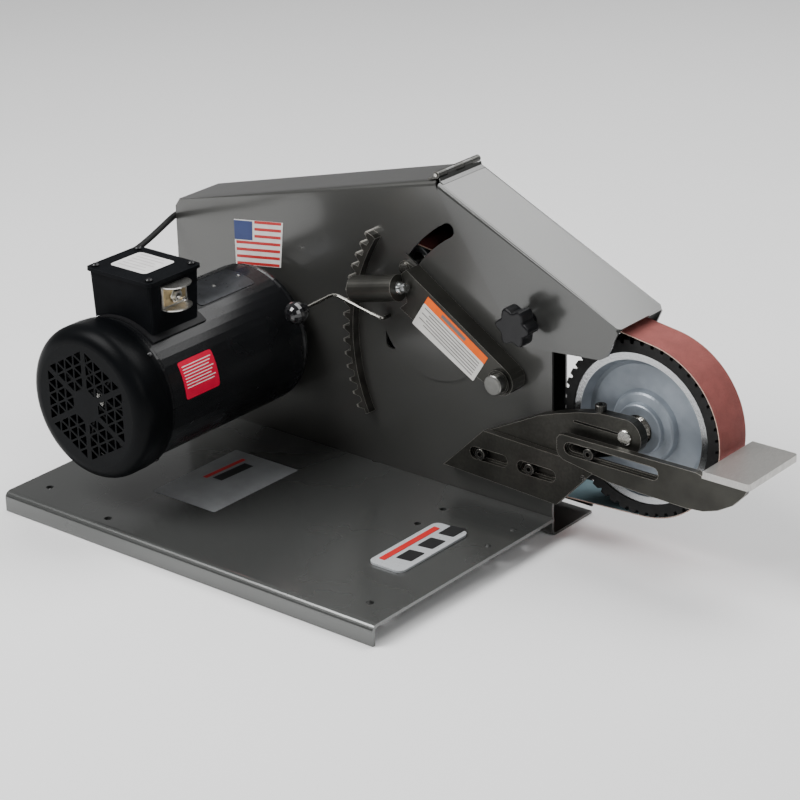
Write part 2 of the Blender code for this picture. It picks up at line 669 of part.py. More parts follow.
def pivot_collar():
    profile = [(PIVOT_PIN_RADIUS + GAP, 88.5 * MM), (14.5 * MM, 88.5 * MM), (14.5 * MM, 92.5 * MM),
               (PIVOT_PIN_RADIUS + GAP, 92.5 * MM)]
    return lathe("pivot_collar", profile, PIVOT, dark_steel(), steps=28)


def tube_direction():
    return Vector((math.cos(TUBE_ANGLE), -0.007, math.sin(TUBE_ANGLE))).normalized()


def spring_tube():
    """Tube that holds the tension spring, closed by an end wall that the bolt passes through."""
    wall = 3.0 * MM
    bolt_hole = 5.4 * MM
    profile = [(bolt_hole, 0.0), (TUBE_RADIUS, 0.0), (TUBE_RADIUS, TUBE_LENGTH),
               (TUBE_BORE, TUBE_LENGTH), (TUBE_BORE, wall), (bolt_hole, wall)]
    return turned_along("spring_tube", profile, TUBE_END, tube_direction(), grey_paint(), 32,
                        (PIVOT[0], ARM_Y[0], PIVOT[1]))


def tube_bolt():
    """Spring guide bolt with its flanged head outside the tube."""
    shank = 5.0 * MM
    profile = [(0.0, -12.0 * MM), (5.6 * MM, -12.0 * MM), (5.6 * MM, -2.8 * MM), (7.6 * MM, -2.6 * MM),
               (7.6 * MM, -GAP), (shank, -GAP), (shank, 58.0 * MM), (0.0, 58.0 * MM)]
    return turned_along("tube_bolt", profile, TUBE_END, tube_direction(), steel(), 20,
                        (PIVOT[0], ARM_Y[0], PIVOT[1]))


def tension_spring():
    """Coil spring inside the tube, round the guide bolt."""
    turns = 6
    steps = 9
    radius = 8.6 * MM
    along = tube_direction()
    side = along.cross(Vector((0.0, 0.0, 1.0))).normalized()
    up = side.cross(along)
    points = []
    for step in range(turns * steps + 1):
        turn = 2.0 * math.pi * step / steps
        height = 6.0 * MM + 48.0 * MM * step / (turns * steps)
        points.append(TUBE_END + along * height + (side * math.cos(turn) + up * math.sin(turn)) * radius)
    return rod("tension_spring", points, 1.2 * MM, steel(), 1, (PIVOT[0], ARM_Y[0], PIVOT[1]))


def ratchet_rack():
    """Curved rack on the side plate, toothed on its outer side."""
    start, end = RACK_ANGLES
    pitch = (end - start) / RACK_TEETH
    outline = []
    for tooth in range(RACK_TEETH):
        root = start + pitch * tooth
        for offset, radius in ((0.0, RACK_ROOT), (0.16, RACK_TIP), (0.36, RACK_TIP), (0.62, RACK_ROOT)):
            turn = root + pitch * offset
            outline.append((PIVOT[0] + radius * math.cos(turn), PIVOT[1] + radius * math.sin(turn)))
    outline += arc(PIVOT, RACK_ROOT, end, end, 1)[:1]
    outline += arc(PIVOT, RACK_INNER, end, start, 20)
    return prism("ratchet_rack", outline, RACK_Y[0], RACK_Y[1], dark_steel())


def slot_shield():
    """Part of a disc that rides behind the arm and covers the lower part of the arc slot."""
    origin = (PIVOT[0], ARM_Y[0], PIVOT[1])
    shield = prism("slot_shield", circle(SHIELD_CENTRE, SHIELD_RADIUS, 64), *SHIELD_Y, grey_paint(),
                   origin=origin)
    beyond = [arm_point(-100.0 * MM, SHIELD_CUT), arm_point(-100.0 * MM, 150.0 * MM),
              arm_point(300.0 * MM, 150.0 * MM), arm_point(300.0 * MM, SHIELD_CUT)]
    boolean(shield, cutter("shield_cut", prism_mesh(beyond, 110.0 * MM, 125.0 * MM)))
    hole = prism_mesh(circle(IDLER, IDLER_SEAT + 2.0 * GAP, 20), 110.0 * MM, 125.0 * MM)
    boolean(shield, cutter("shield_axle_hole", hole))
    return shield


def idler_axle():
    """Shouldered axle: seated in the arm's lug, it passes the slot and carries the idler."""
    start = LUG_Y - 3.0 * MM + GAP
    profile = [(0.0, start), (IDLER_SEAT, start), (IDLER_SEAT, 130.0 * MM), (6.0 * MM, 130.0 * MM),
               (6.0 * MM, 182.0 * MM), (0.0, 182.0 * MM)]
    return lathe("idler_axle", profile, IDLER, steel(), steps=20,
                 origin=(IDLER[0], NEAR_Y, IDLER[1]))


def idler_wheel():
    """Crowned idler wheel."""
    low, high = BELT_Y
    middle = (low + high) / 2.0
    edge = IDLER_RADIUS - 0.9 * MM
    bore = IDLER_BEARING + GAP
    profile = [(bore, low + 1.0 * MM), (17.0 * MM, low + 1.0 * MM), (18.5 * MM, low), (edge, low),
               (IDLER_RADIUS, middle), (edge, high), (18.5 * MM, high), (17.0 * MM, high - 1.0 * MM),
               (bore, high - 1.0 * MM)]
    return lathe("idler_wheel", profile, IDLER, material("idler_alloy", (0.6, 0.6, 0.62), 0.35, 1.0),
                 steps=32, origin=(IDLER[0], NEAR_Y, IDLER[1]))


def idler_bearing():
    low = BELT_Y[0] + 6.0 * MM
    high = BELT_Y[1] - 6.0 * MM
    profile = [(6.3 * MM, low), (IDLER_BEARING, low), (IDLER_BEARING, high), (6.3 * MM, high)]
    return lathe("idler_bearing", profile, IDLER, steel(), steps=28,
                 origin=(IDLER[0], NEAR_Y, IDLER[1]))


def lever_corner(before, corner, after, radius, steps=5):
    """Round one corner of a bent rod."""
    into = (before - corner).normalized()
    out = (after - corner).normalized()
    points = []
    for step in range(steps + 1):
        t = step / steps
        start = corner + into * radius
        end = corner + out * radius
        points.append(start * (1 - t) ** 2 + corner * 2.0 * t * (1 - t) + end * t ** 2)
    return points


def catch_lever():
    """Bent rod: its tip turns in the shield, its long leg crosses the rack, its end has a ball."""
    tip = Vector((LEVER_PIVOT[0], SHIELD_Y[0] - GAP, LEVER_PIVOT[1]))
    elbow = Vector((LEVER_PIVOT[0], LEVER_Y, LEVER_PIVOT[1]))
    bend = Vector((LEVER_BEND[0], LEVER_Y, LEVER_BEND[1]))
    last = BALL + (bend - BALL).normalized() * (BALL_RADIUS + 2.0 * MM)
    points = [tip] + lever_corner(tip, elbow, bend, 5.0 * MM) + lever_corner(elbow, bend, last, 9.0 * MM)
    return rod("catch_lever", points + [last], LEVER_ROD, steel(), 2, tuple(elbow))


def catch_lever_knob():
    """Round knob with a short neck on the end of the catch lever."""
    bend = Vector((LEVER_BEND[0], LEVER_Y, LEVER_BEND[1]))
    direction = (bend - BALL).normalized()
    profile = [(0.0, -BALL_RADIUS)]
    for step in range(1, 9):
        turn = math.radians(-90.0 + 18.0 * step)
        profile.append((BALL_RADIUS * math.cos(turn), BALL_RADIUS * math.sin(turn)))
    profile += [(7.0 * MM, BALL_RADIUS + 1.0 * MM), (0.0, BALL_RADIUS + 1.0 * MM)]
    return turned_along("catch_lever_knob", profile, BALL, direction, black_plastic(), 18,
                        (LEVER_PIVOT[0], LEVER_Y, LEVER_PIVOT[1]))


# ---------------------------------------------------------------- wheels and belt
def drive_wheel():
    """Large flat wheel on the motor shaft that drives the belt."""
    low, high = BELT_Y
    profile = [(SHAFT_RADIUS + GAP, low - 4.0 * MM), (24.0 * MM, low - 4.0 * MM),
               (24.0 * MM, low + 20.0 * MM), (122.0 * MM, low + 20.0 * MM), (122.0 * MM, low),
               (130.4 * MM, low), (DRIVE_RADIUS, (low + high) / 2.0), (130.4 * MM, high),
               (122.0 * MM, high), (122.0 * MM, high - 22.0 * MM), (24.0 * MM, high - 22.0 * MM),
               (24.0 * MM, high - 6.0 * MM), (SHAFT_RADIUS + GAP, high - 6.0 * MM)]
    return lathe("drive_wheel", profile, MOTOR, material("drive_alloy", (0.55, 0.55, 0.57), 0.4, 1.0),
                 steps=48, origin=(MOTOR[0], NEAR_Y, MOTOR[1]))


def contact_wheel():
    """Cast wheel: stepped hub boss, dished web and machined rim."""
    low, high = BELT_Y
    middle = (low + high) / 2.0
    near = [(17.3 * MM, low - 2.0 * MM), (27.5 * MM, low - 2.0 * MM), (28.7 * MM, low - 0.8 * MM),
            (29.5 * MM, low + 4.0 * MM), (38.0 * MM, low + 5.5 * MM), (40.0 * MM, low + 7.5 * MM),
            (42.5 * MM, low + 13.0 * MM), (70.0 * MM, low + 15.0 * MM), (74.0 * MM, low + 13.5 * MM),
            (79.0 * MM, low + 1.5 * MM), (RIM_RADIUS, low + 1.5 * MM)]
    far = [(RIM_RADIUS, high - 1.5 * MM), (79.0 * MM, high - 1.5 * MM), (72.0 * MM, middle + 5.0 * MM),
           (37.0 * MM, middle + 7.0 * MM), (30.0 * MM, high - 2.0 * MM), (17.3 * MM, high - 2.0 * MM)]
    return lathe("contact_wheel", near + far, CONTACT,
                 material("wheel_blue_grey", (0.32, 0.36, 0.4), 0.4, 0.4), steps=48,
                 origin=(CONTACT[0], NEAR_Y, CONTACT[1]))


def contact_tread():
    low, high = BELT_Y
    inner = RIM_RADIUS + GAP
    profile = [(inner, low), (CONTACT_RADIUS - 1.0 * MM, low), (CONTACT_RADIUS, low + 1.0 * MM),
               (CONTACT_RADIUS, high - 1.0 * MM), (CONTACT_RADIUS - 1.0 * MM, high), (inner, high)]
    return lathe("contact_tread", profile, CONTACT, material("rubber", (0.02, 0.02, 0.02), 0.8),
                 steps=48, origin=(CONTACT[0], NEAR_Y, CONTACT[1]))


def contact_bearing():
    low = BELT_Y[0] - 2.5 * MM
    high = BELT_Y[1] - 6.0 * MM
    ring = BOSS_Y[1] + GAP
    profile = [(AXLE_RADIUS + GAP, ring), (12.8 * MM, ring), (13.4 * MM, ring + 0.6 * MM), (13.4 * MM, low),
               (17.0 * MM, low), (17.0 * MM, high), (AXLE_RADIUS + GAP, high)]
    return lathe("contact_bearing", profile, CONTACT, steel(), steps=32,
                 origin=(CONTACT[0], NEAR_Y, CONTACT[1]))


def contact_axle():
    profile = [(0.0, 103.3 * MM), (7.8 * MM, 103.3 * MM), (AXLE_RADIUS, 104.0 * MM),
               (AXLE_RADIUS, 180.0 * MM), (0.0, 180.0 * MM)]
    return lathe("contact_axle", profile, CONTACT, steel(), steps=28)


def abrasive_belt():
    wheels = [(*CONTACT, CONTACT_RADIUS + GAP), (*IDLER, IDLER_RADIUS + GAP), (*MOTOR, DRIVE_RADIUS + GAP)]
    steps = (26, 10, 28)
    outer = tangent_loop(wheels, BELT_THICK, steps)
    inner = tangent_loop(wheels, 0.0, steps)
    return prism("abrasive_belt", outer, *BELT_Y, material("abrasive", (0.25, 0.06, 0.05), 0.9),
                 holes=(inner,))


# ---------------------------------------------------------------- motor
def motor_shell():
    profile = [(SHELL_RADIUS - 3.5 * MM, SHELL_Y[0]), (SHELL_RADIUS, SHELL_Y[0]),
               (SHELL_RADIUS, SHELL_Y[1]), (SHELL_RADIUS - 3.5 * MM, SHELL_Y[1])]
    return lathe("motor_shell", profile, MOTOR, black_paint(), steps=56)


def motor_drive_bell():
    """Drive-end bell, with a pilot ring that seats against the side plate."""
    start = SHELL_Y[1] + GAP
    profile = [(10.0 * MM, start), (80.0 * MM, start), (82.0 * MM, start + 1.0 * MM),
               (SHELL_RADIUS - 0.5 * MM, start + 4.0 * MM), (SHELL_RADIUS - 2.0 * MM, 101.0 * MM),
               (79.0 * MM, 104.0 * MM), (58.0 * MM, 104.0 * MM), (58.0 * MM, NEAR_Y - GAP),
               (50.0 * MM, NEAR_Y - GAP), (50.0 * MM, 108.0 * MM), (20.5 * MM, 108.0 * MM),
               (20.5 * MM, 96.0 * MM), (10.0 * MM, 96.0 * MM)]
    return lathe("motor_drive_bell", profile, MOTOR, black_paint(), steps=40)


def motor_fan_bell():
    end = SHELL_Y[0] - GAP
    profile = [(10.0 * MM, end), (10.0 * MM, end - 4.0 * MM), (20.5 * MM, end - 4.0 * MM),
               (20.5 * MM, end - 16.0 * MM), (26.0 * MM, end - 16.0 * MM), (30.0 * MM, end - 9.0 * MM),
               (78.0 * MM, end - 9.0 * MM), (SHELL_RADIUS, end - 5.0 * MM), (SHELL_RADIUS, end)]
    return lathe("motor_fan_bell", profile, MOTOR, black_paint(), steps=36)


def stator():
    profile = [(51.0 * MM, -85.0 * MM), (58.0 * MM, -95.0 * MM), (74.0 * MM, -95.0 * MM),
               (81.2 * MM, -70.0 * MM), (81.2 * MM, 45.0 * MM), (74.0 * MM, 70.0 * MM),
               (58.0 * MM, 70.0 * MM), (51.0 * MM, 60.0 * MM)]
    return lathe("stator", profile, MOTOR, material("copper_winding", (0.45, 0.2, 0.1), 0.5, 0.5), steps=28)


def rotor_shaft():
    """Motor shaft with its rotor core, from the fan to the drive wheel."""
    profile = [(0.0, -160.0 * MM), (SHAFT_RADIUS, -160.0 * MM), (SHAFT_RADIUS, -60.0 * MM),
               (49.0 * MM, -60.0 * MM), (49.0 * MM, 35.0 * MM), (SHAFT_RADIUS, 35.0 * MM),
               (SHAFT_RADIUS, 190.0 * MM), (0.0, 190.0 * MM)]
    return lathe("rotor_shaft", profile, MOTOR, steel(), steps=28, origin=(MOTOR[0], NEAR_Y, MOTOR[1]))


def shaft_bearing(name, low, high):
    profile = [(SHAFT_RADIUS + GAP, low), (20.2 * MM, low), (20.2 * MM, high), (SHAFT_RADIUS + GAP, high)]
    return lathe(name, profile, MOTOR, steel(), steps=28)


def cooling_fan():
    """Radial fan: a hub disc with straight blades."""
    hub = lathe_mesh([(SHAFT_RADIUS + GAP, -158.0 * MM), (14.0 * MM, -158.0 * MM), (16.0 * MM, -146.5 * MM),
                      (76.0 * MM, -146.5 * MM), (76.0 * MM, -144.0 * MM), (SHAFT_RADIUS + GAP, -144.0 * MM)],
                     MOTOR, steps=36)
    meshes = [hub]
    blades = 7
    half = 1.2 * MM
    for blade in range(blades):
        turn = 2.0 * math.pi * blade / blades
        ca, sa = math.cos(turn), math.sin(turn)
        corners = []
        for radius, side in ((15.0 * MM, -half), (74.0 * MM, -half), (74.0 * MM, half), (15.0 * MM, half)):
            corners.append((MOTOR[0] + radius * ca - side * sa, MOTOR[1] + radius * sa + side * ca))
        meshes.append(prism_mesh(corners, -165.0 * MM, -145.0 * MM))
    return join_solids("cooling_fan", meshes, black_plastic(), (MOTOR[0], NEAR_Y, MOTOR[1]))


def vent_sector(middle):
    """One of six triangular vent fields round the plain middle of the fan cover."""
    inner = 26.0 * MM
    outer = 63.0 * MM
    spread_in = math.radians(12.0)
    spread_out = math.radians(24.0)
    return [(MOTOR[0] + r * math.cos(a), MOTOR[1] + r * math.sin(a)) for r, a in
            ((inner, middle - spread_in), (outer, middle - spread_out), (outer, middle + spread_out),
             (inner, middle + spread_in))]


def fan_cover():
    """Pressed drum over the fan, with a vented face and a round shoulder."""
    face, rim = FAN_COVER_Y
    shoulder = 18.0 * MM
    wall = FAN_COVER_WALL
    radius = FAN_COVER_RADIUS
    bend = [(radius - shoulder + shoulder * math.sin(t), face + shoulder - shoulder * math.cos(t))
            for t in (math.radians(d) for d in (0, 22.5, 45, 67.5, 90))]
    inside = [(radius - shoulder + (shoulder - wall) * math.sin(t),
               face + shoulder - (shoulder - wall) * math.cos(t))
              for t in (math.radians(d) for d in (90, 45, 0))]
    profile = [(0.0, face)] + bend + [(radius - 1.0 * MM, rim), (radius - 1.0 * MM - wall, rim)]
    cover = lathe("fan_cover", profile + inside + [(0.0, face + wall)], MOTOR, black_paint(), steps=48)
    for index in range(6):
        sector = prism_mesh(vent_sector(math.radians(60.0 * index)), face - 5.0 * MM, face + 8.0 * MM)
        boolean(cover, cutter(f"vent_{index}", sector))
    return cover


# ---------------------------------------------------------------- conduit box and switch
def tapered_box(x_span, y_span, bottom, top, taper):
    """A box that narrows by taper on every side towards its bottom."""
    bm = box_mesh((x_span[0], y_span[0], bottom), (x_span[1], y_span[1], top))
    cx = sum(x_span) / 2.0
    cy = sum(y_span) / 2.0
    for vert in bm.verts:
        if vert.co.z < (bottom + top) / 2.0:
            vert.co.x -= math.copysign(taper, vert.co.x - cx)
            vert.co.y -= math.copysign(taper, vert.co.y - cy)
    return bm


def round_uprights(a, b):
    return abs(a.z - b.z) > 20.0 * MM


def conduit_box():
    """Terminal box on the motor: open on top, its bottom scooped to the shell."""
    bottom = 200.0 * MM
    bm = tapered_box(BOX_X, BOX_Y, bottom, BOX_TOP, BOX_TAPER)
    bevel_where(bm, round_uprights, 4.0 * MM, 3)
    box = add_object("conduit_box", bm, black_paint())
    inner_x = (BOX_X[0] + BOX_WALL, BOX_X[1] - BOX_WALL)
    inner_y = (BOX_Y[0] + BOX_WALL, BOX_Y[1] - BOX_WALL)
    hollow = tapered_box(inner_x, inner_y, 252.0 * MM, 310.0 * MM, 1.0 * MM)
    boolean(box, cutter("box_hollow", hollow))
    scoop = lathe_mesh([(0.0, -160.0 * MM), (SHELL_RADIUS + 2.6 * MM, -160.0 * MM),
                        (SHELL_RADIUS + 2.6 * MM, 20.0 * MM), (0.0, 20.0 * MM)], MOTOR, steps=96)
    boolean(box, cutter("box_scoop", scoop))
    hole = prism_mesh(circle((SWITCH.y, SWITCH.z), 6.4 * MM, 16), -240.0 * MM, -220.0 * MM, "X")
    boolean(box, cutter("box_switch_hole", hole))
    cord_hole = prism_mesh(circle((CORD_ROUTE[0].y, CORD_ROUTE[0].z), 8.3 * MM, 20),
                           -340.0 * MM, -312.0 * MM, "X")
    boolean(box, cutter("box_cord_hole", cord_hole))
    return box


def conduit_gasket():
    """Thin saddle between the box and the motor shell."""
    half = 53.0 * MM
    low = SHELL_RADIUS + GAP
    high = SHELL_RADIUS + 2.3 * MM
    spread = math.asin(half / high)
    upright = math.pi / 2.0
    outline = (arc(MOTOR, low, upright - spread, upright + spread, 20)
               + arc(MOTOR, high, upright + spread, upright - spread, 20))
    return prism("conduit_gasket", outline, -121.5 * MM, -35.5 * MM, black_plastic())


def conduit_lid():
    bm = box_mesh((LID_X[0], LID_Y[0], LID_Z[0]), (LID_X[1], LID_Y[1], LID_Z[1]))
    bevel_where(bm, lambda a, b: abs(a.z - b.z) > 2.0 * MM, 6.0 * MM, 3)
    lid = add_object("conduit_lid", bm, black_paint())
    for index, (x, y) in enumerate(lid_screw_places()):
        hole = prism_mesh(circle((x, y), 2.4 * MM, 12), 280.0 * MM, 300.0 * MM, "Z")
        boolean(lid, cutter(f"lid_hole_{index}", hole))
        pocket = prism_mesh(circle((x, y), 2.4 * MM, 12), 280.0 * MM, 295.0 * MM, "Z")
        boolean(bpy.data.objects["conduit_box"], cutter(f"box_screw_{index}", pocket))
    return lid


def lid_screw_places():
    inset = 8.5 * MM
    return [(x, y) for x in (LID_X[0] + inset, LID_X[1] - inset) for y in (LID_Y[0] + inset, LID_Y[1] - inset)]


def lid_screws():
    for index, place in enumerate(lid_screw_places()):
        low = LID_Z[1] + GAP
        profile = [(0.0, 282.0 * MM), (2.0 * MM, 282.0 * MM), (2.0 * MM, low), (4.2 * MM, low),
                   (4.2 * MM, low + 1.5 * MM), (2.5 * MM, low + 3.0 * MM), (0.0, low + 3.0 * MM)]
        lathe(f"lid_screw_{index + 1}", profile, place, black_plastic(), "Z", 16)


def toggle_switch():
    """Switch body inside the box, with its threaded bush through the wall."""
    body = box_mesh((-250.0 * MM, -94.0 * MM, 257.0 * MM), (-235.0 * MM, -70.0 * MM, 283.0 * MM))
    bush = lathe_mesh([(3.4 * MM, -236.0 * MM), (6.0 * MM, -236.0 * MM), (6.0 * MM, -222.5 * MM),
                       (3.4 * MM, -222.5 * MM)], (SWITCH.y, SWITCH.z), "X", 20)
    switch = join_solids("toggle_switch", [body, bush], steel())
    well = prism_mesh(circle((SWITCH.y, SWITCH.z), 3.4 * MM, 16), -240.0 * MM, -215.0 * MM, "X")
    boolean(switch, cutter("switch_well", well))
    return switch


def toggle_lever():
    """Bat lever, leaning to its off side."""
    pivot = Vector((-230.0 * MM, SWITCH.y, SWITCH.z))
    lean = math.radians(-9.0)
    direction = Vector((math.cos(lean), math.sin(lean), 0.0))
    profile = [(0.0, -5.0 * MM), (1.5 * MM, -5.0 * MM), (1.5 * MM, 6.0 * MM), (3.2 * MM, 20.0 * MM),
               (2.6 * MM, 22.5 * MM), (0.0, 23.5 * MM)]
    return turned_along("toggle_lever", profile, pivot, direction, steel(), 16, tuple(pivot))


def switch_guard():
    """Stamped U guard: a back plate and two round ears above and below the lever."""
    near_x = BOX_X[1] + GAP
    ear_reach = 20.0 * MM
    thick = 1.5 * MM
    low_y, high_y = -102.0 * MM, -62.0 * MM
    low_z, high_z = 257.0 * MM, 285.0 * MM
    back = prism_mesh([(low_y, low_z), (high_y, low_z), (high_y, high_z), (low_y, high_z)],
                      near_x, near_x + thick, "X")
    ear = ([(near_x, low_y)] + [(near_x + 4.0 * MM + (ear_reach - 4.0 * MM) * math.sin(t),
                                 (low_y + high_y) / 2.0 - (high_y - low_y) / 2.0 * math.cos(t))
                                for t in (math.pi * s / 10.0 for s in range(11))] + [(near_x, high_y)])
    guard = join_solids("switch_guard", [back, prism_mesh(ear, low_z, low_z + thick, "Z"),
                                         prism_mesh(ear, high_z - thick, high_z, "Z")], steel())
    hole = prism_mesh(circle((SWITCH.y, SWITCH.z), 6.4 * MM, 20), -240.0 * MM, -220.0 * MM, "X")
    boolean(guard, cutter("guard_bush_hole", hole))
    return guard


# ---------------------------------------------------------------- wheel arm and work rest
def wheel_arm():
    """Arm that carries the contact wheel's axle in a split boss."""
    sweep = [(134.8, 150.4), (160.0, 159.5), (190.0, 168.5), (217.8, 174.2)]
    outline = [(-0.5 * MM, 55.5 * MM), (62.3 * MM, 113.2 * MM)] + [(x * MM, z * MM) for x, z in sweep]
    outline += arc(CONTACT, BOSS_RADIUS, math.radians(95.0), math.radians(-90.0), 12)
    outline += [(205.0 * MM, 118.0 * MM), (166.0 * MM, 62.0 * MM), (150.0 * MM, 55.5 * MM)]
    plate = prism_mesh(outline, *ARM_BLOCK_Y)
    boss = prism_mesh(circle(CONTACT, BOSS_NECK, 32), BOSS_Y[0] + 3.0 * MM, BOSS_Y[1])
    arm = join_solids("wheel_arm", [plate, boss], dark_steel())
    bore = prism_mesh(circle(CONTACT, AXLE_RADIUS + GAP, 28), 90.0 * MM, 140.0 * MM)
    boolean(arm, cutter("arm_axle_bore", bore))
    split = prism_mesh(slot((184.0 * MM, 156.6 * MM), (248.0 * MM, 156.6 * MM), 1.2 * MM, 4),
                       90.0 * MM, 140.0 * MM)
    boolean(arm, cutter("arm_split", split))
    pinch = prism_mesh(circle(PINCH, SCREW_RADIUS + GAP, 16), 128.0 * MM, 190.0 * MM, "Z")
    boolean(arm, cutter("arm_pinch_hole", pinch))
    for index, centre in enumerate(BRACKET_SCREWS):
        hole = prism_mesh(circle(centre, SCREW_RADIUS + GAP, 16), 100.0 * MM, 125.0 * MM)
        boolean(arm, cutter(f"arm_screw_hole_{index}", hole))
    return arm


def cap_screw(name, centre, head, tip, axis="Y", origin=(0.0, 0.0, 0.0)):
    """Socket cap screw: head = (outer end, under side), tip = end of the thread."""
    socket = 3.0 * MM
    depth = head[0] + (head[1] - head[0]) * 0.55
    profile = [(0.0, depth), (socket, depth), (socket, head[0]), (CAP_RADIUS - 0.6 * MM, head[0]),
               (CAP_RADIUS, head[0] + (head[1] - head[0]) * 0.1), (CAP_RADIUS, head[1]),
               (SCREW_RADIUS, head[1]), (SCREW_RADIUS, tip), (0.0, tip)]
    return lathe(name, profile, centre, dark_steel(), axis, 18, origin)


def pinch_screw():
    return cap_screw("pinch_screw", PINCH, (182.4 * MM, 174.6 * MM), 133.0 * MM, "Z")


def stepped_slot(obj, first, second, y_span, label):
    """A slot with a wide recess for the screw head and a narrow way through."""
    floor = y_span[0] + (y_span[1] - y_span[0]) * 0.62
    wide = prism_mesh(slot(first, second, SLOT_WIDE), y_span[0] - 5.0 * MM, floor)
    boolean(obj, cutter(f"{label}_recess", wide))
    narrow = prism_mesh(slot(first, second, SLOT_NARROW), y_span[0] - 5.0 * MM, y_span[1] + 5.0 * MM)
    boolean(obj, cutter(f"{label}_through", narrow))


def rest_bracket():
    """Slotted plate on the wheel arm that carries the work rest."""
    outline = [(7.8, 61.0), (64.6, 117.0), (180.4, 113.7), (222.0, 113.0), (207.0, 98.0), (165.3, 53.9)]
    origin = (BRACKET_SCREWS[0][0], BRACKET_Y[0], BRACKET_SCREWS[0][1])
    bracket = prism("rest_bracket", [(x * MM, z * MM) for x, z in outline], *BRACKET_Y, dark_steel(),
                    origin=origin)
    for index, middle in enumerate(BRACKET_SLOTS):
        first = (middle - BRACKET_SLOT_HALF, BRACKET_SLOT_Z)
        second = (middle + BRACKET_SLOT_HALF, BRACKET_SLOT_Z)
        stepped_slot(bracket, first, second, BRACKET_Y, f"bracket_slot_{index}")
    hole = prism_mesh(circle(REST_SCREW, SCREW_RADIUS + GAP, 16), 90.0 * MM, 110.0 * MM)
    boolean(bracket, cutter("bracket_rest_hole", hole))
    return bracket


def bracket_screws():
    floor = BRACKET_Y[0] + (BRACKET_Y[1] - BRACKET_Y[0]) * 0.62 - GAP
    for index, centre in enumerate(BRACKET_SCREWS):
        cap_screw(f"bracket_screw_{index + 1}", centre, (floor - 6.0 * MM, floor), 117.0 * MM)


def tool_rest():
    """Work rest: a slotted upright plate with a flat table welded across its end."""
    outline = [(180.0, 145.6), (175.0, 144.0), (172.0, 139.5), (172.0, 126.0), (174.0, 120.0),
               (180.0, 116.0), (205.0, 112.0), (240.0, 105.5), (290.0, 103.5),
               (340.0, 102.5), (362.0, 104.5), (380.0, 110.5), (398.0, 121.0), (412.0, 136.0),
               (416.0, 144.5), (361.0, 144.5), (352.0, 147.0)]
    origin = (REST_SCREW[0], REST_Y[0], REST_SCREW[1])
    upright = prism_mesh([(x * MM, z * MM) for x, z in outline], *REST_Y)
    table = box_mesh((TABLE_X[0], TABLE_Y[0], TABLE_Z[0]), (TABLE_X[1], TABLE_Y[1], TABLE_Z[1]))
    bevel_where(table, lambda a, b: abs(a.z - b.z) > 2.0 * MM and min(a.x, b.x) > 400.0 * MM, 4.0 * MM, 3)
    rest = join_solids("tool_rest", [upright, table], dark_steel(), origin)
    stepped_slot(rest, REST_SLOT[0], REST_SLOT[1], REST_Y, "rest_slot")
    return rest


def rest_screw():
    floor = REST_Y[0] + (REST_Y[1] - REST_Y[0]) * 0.62 - GAP
    origin = (REST_SCREW[0], REST_Y[0], REST_SCREW[1])
    return cap_screw("rest_screw", REST_SCREW, (floor - 6.0 * MM, floor), 104.8 * MM, origin=origin)


# ---------------------------------------------------------------- mains cord
def cord_gland():
    """Strain relief on the box's left side: hex nut part, then a tapered sleeve."""
    face = BOX_X[0] - 2.0 * MM
    bore = CORD_DIAMETER / 2.0 + GAP
    profile = [(bore, 8.0 * MM), (8.0 * MM, 8.0 * MM), (8.0 * MM, 0.3 * MM), (11.5 * MM, 0.3 * MM),
               (11.5 * MM, -7.0 * MM), (8.0 * MM, -8.0 * MM), (5.6 * MM, -29.0 * MM), (bore, -29.0 * MM)]
    start = Vector((face, CORD_ROUTE[0].y, CORD_ROUTE[0].z))
    profile = [(radius, -height) for radius, height in profile]
    return turned_along("cord_gland", profile, start, (-1.0, 0.0, 0.0), black_plastic(), 20)


def power_cord():
    """The cord's free stretch, from inside its gland to its coil."""
    inside = [CORD_ROUTE[0] + Vector((38.0 * MM, 0.0, 0.0)), CORD_ROUTE[0] + Vector((18.0 * MM, 0.0, 0.0))]
    points = smooth_route(inside + CORD_ROUTE, 2.0 * CORD_DIAMETER)
    rubber = material("cord_black", (0.02, 0.02, 0.02), 0.55)
    return rod("power_cord", points, CORD_DIAMETER / 2.0, rubber, 2)


def cord_coil():
    """Outer shape of the cord's put-away length, wound flat on the bench."""
    profile = [(COIL_INNER, 1.5 * MM), (COIL_INNER + 1.5 * MM, 0.1 * MM), (COIL_OUTER - 1.5 * MM, 0.1 * MM),
               (COIL_OUTER, 1.5 * MM), (COIL_OUTER, COIL_HEIGHT - 1.5 * MM),
               (COIL_OUTER - 1.5 * MM, COIL_HEIGHT), (COIL_INNER + 1.5 * MM, COIL_HEIGHT),
               (COIL_INNER, COIL_HEIGHT - 1.5 * MM)]
    rubber = material("cord_black", (0.02, 0.02, 0.02), 0.55)
    return lathe("cord_coil", profile, COIL_CENTRE, rubber, "Z", 30)


def power_plug():
    """Mains plug lying beside the coil, blades forward."""
    body = turned_along("power_plug", [(0.0, 0.0), (5.2 * MM, 0.0), (7.0 * MM, 18.0 * MM),
                                       (14.5 * MM, 26.0 * MM), (14.5 * MM, 44.0 * MM), (0.0, 44.0 * MM)],
                        PLUG_START, (1.0, 0.0, 0.0), black_plastic(), 20)
    for index, shift in enumerate((-6.3 * MM, 6.3 * MM)):
        low = (PLUG_START.x + 43.0 * MM, PLUG_START.y + shift - 0.8 * MM, PLUG_START.z - 3.2 * MM)
        high = (PLUG_START.x + 60.0 * MM, PLUG_START.y + shift + 0.8 * MM, PLUG_START.z + 3.2 * MM)
        boolean(body, cutter(f"plug_blade_{index}", box_mesh(low, high)), "UNION")
    return body


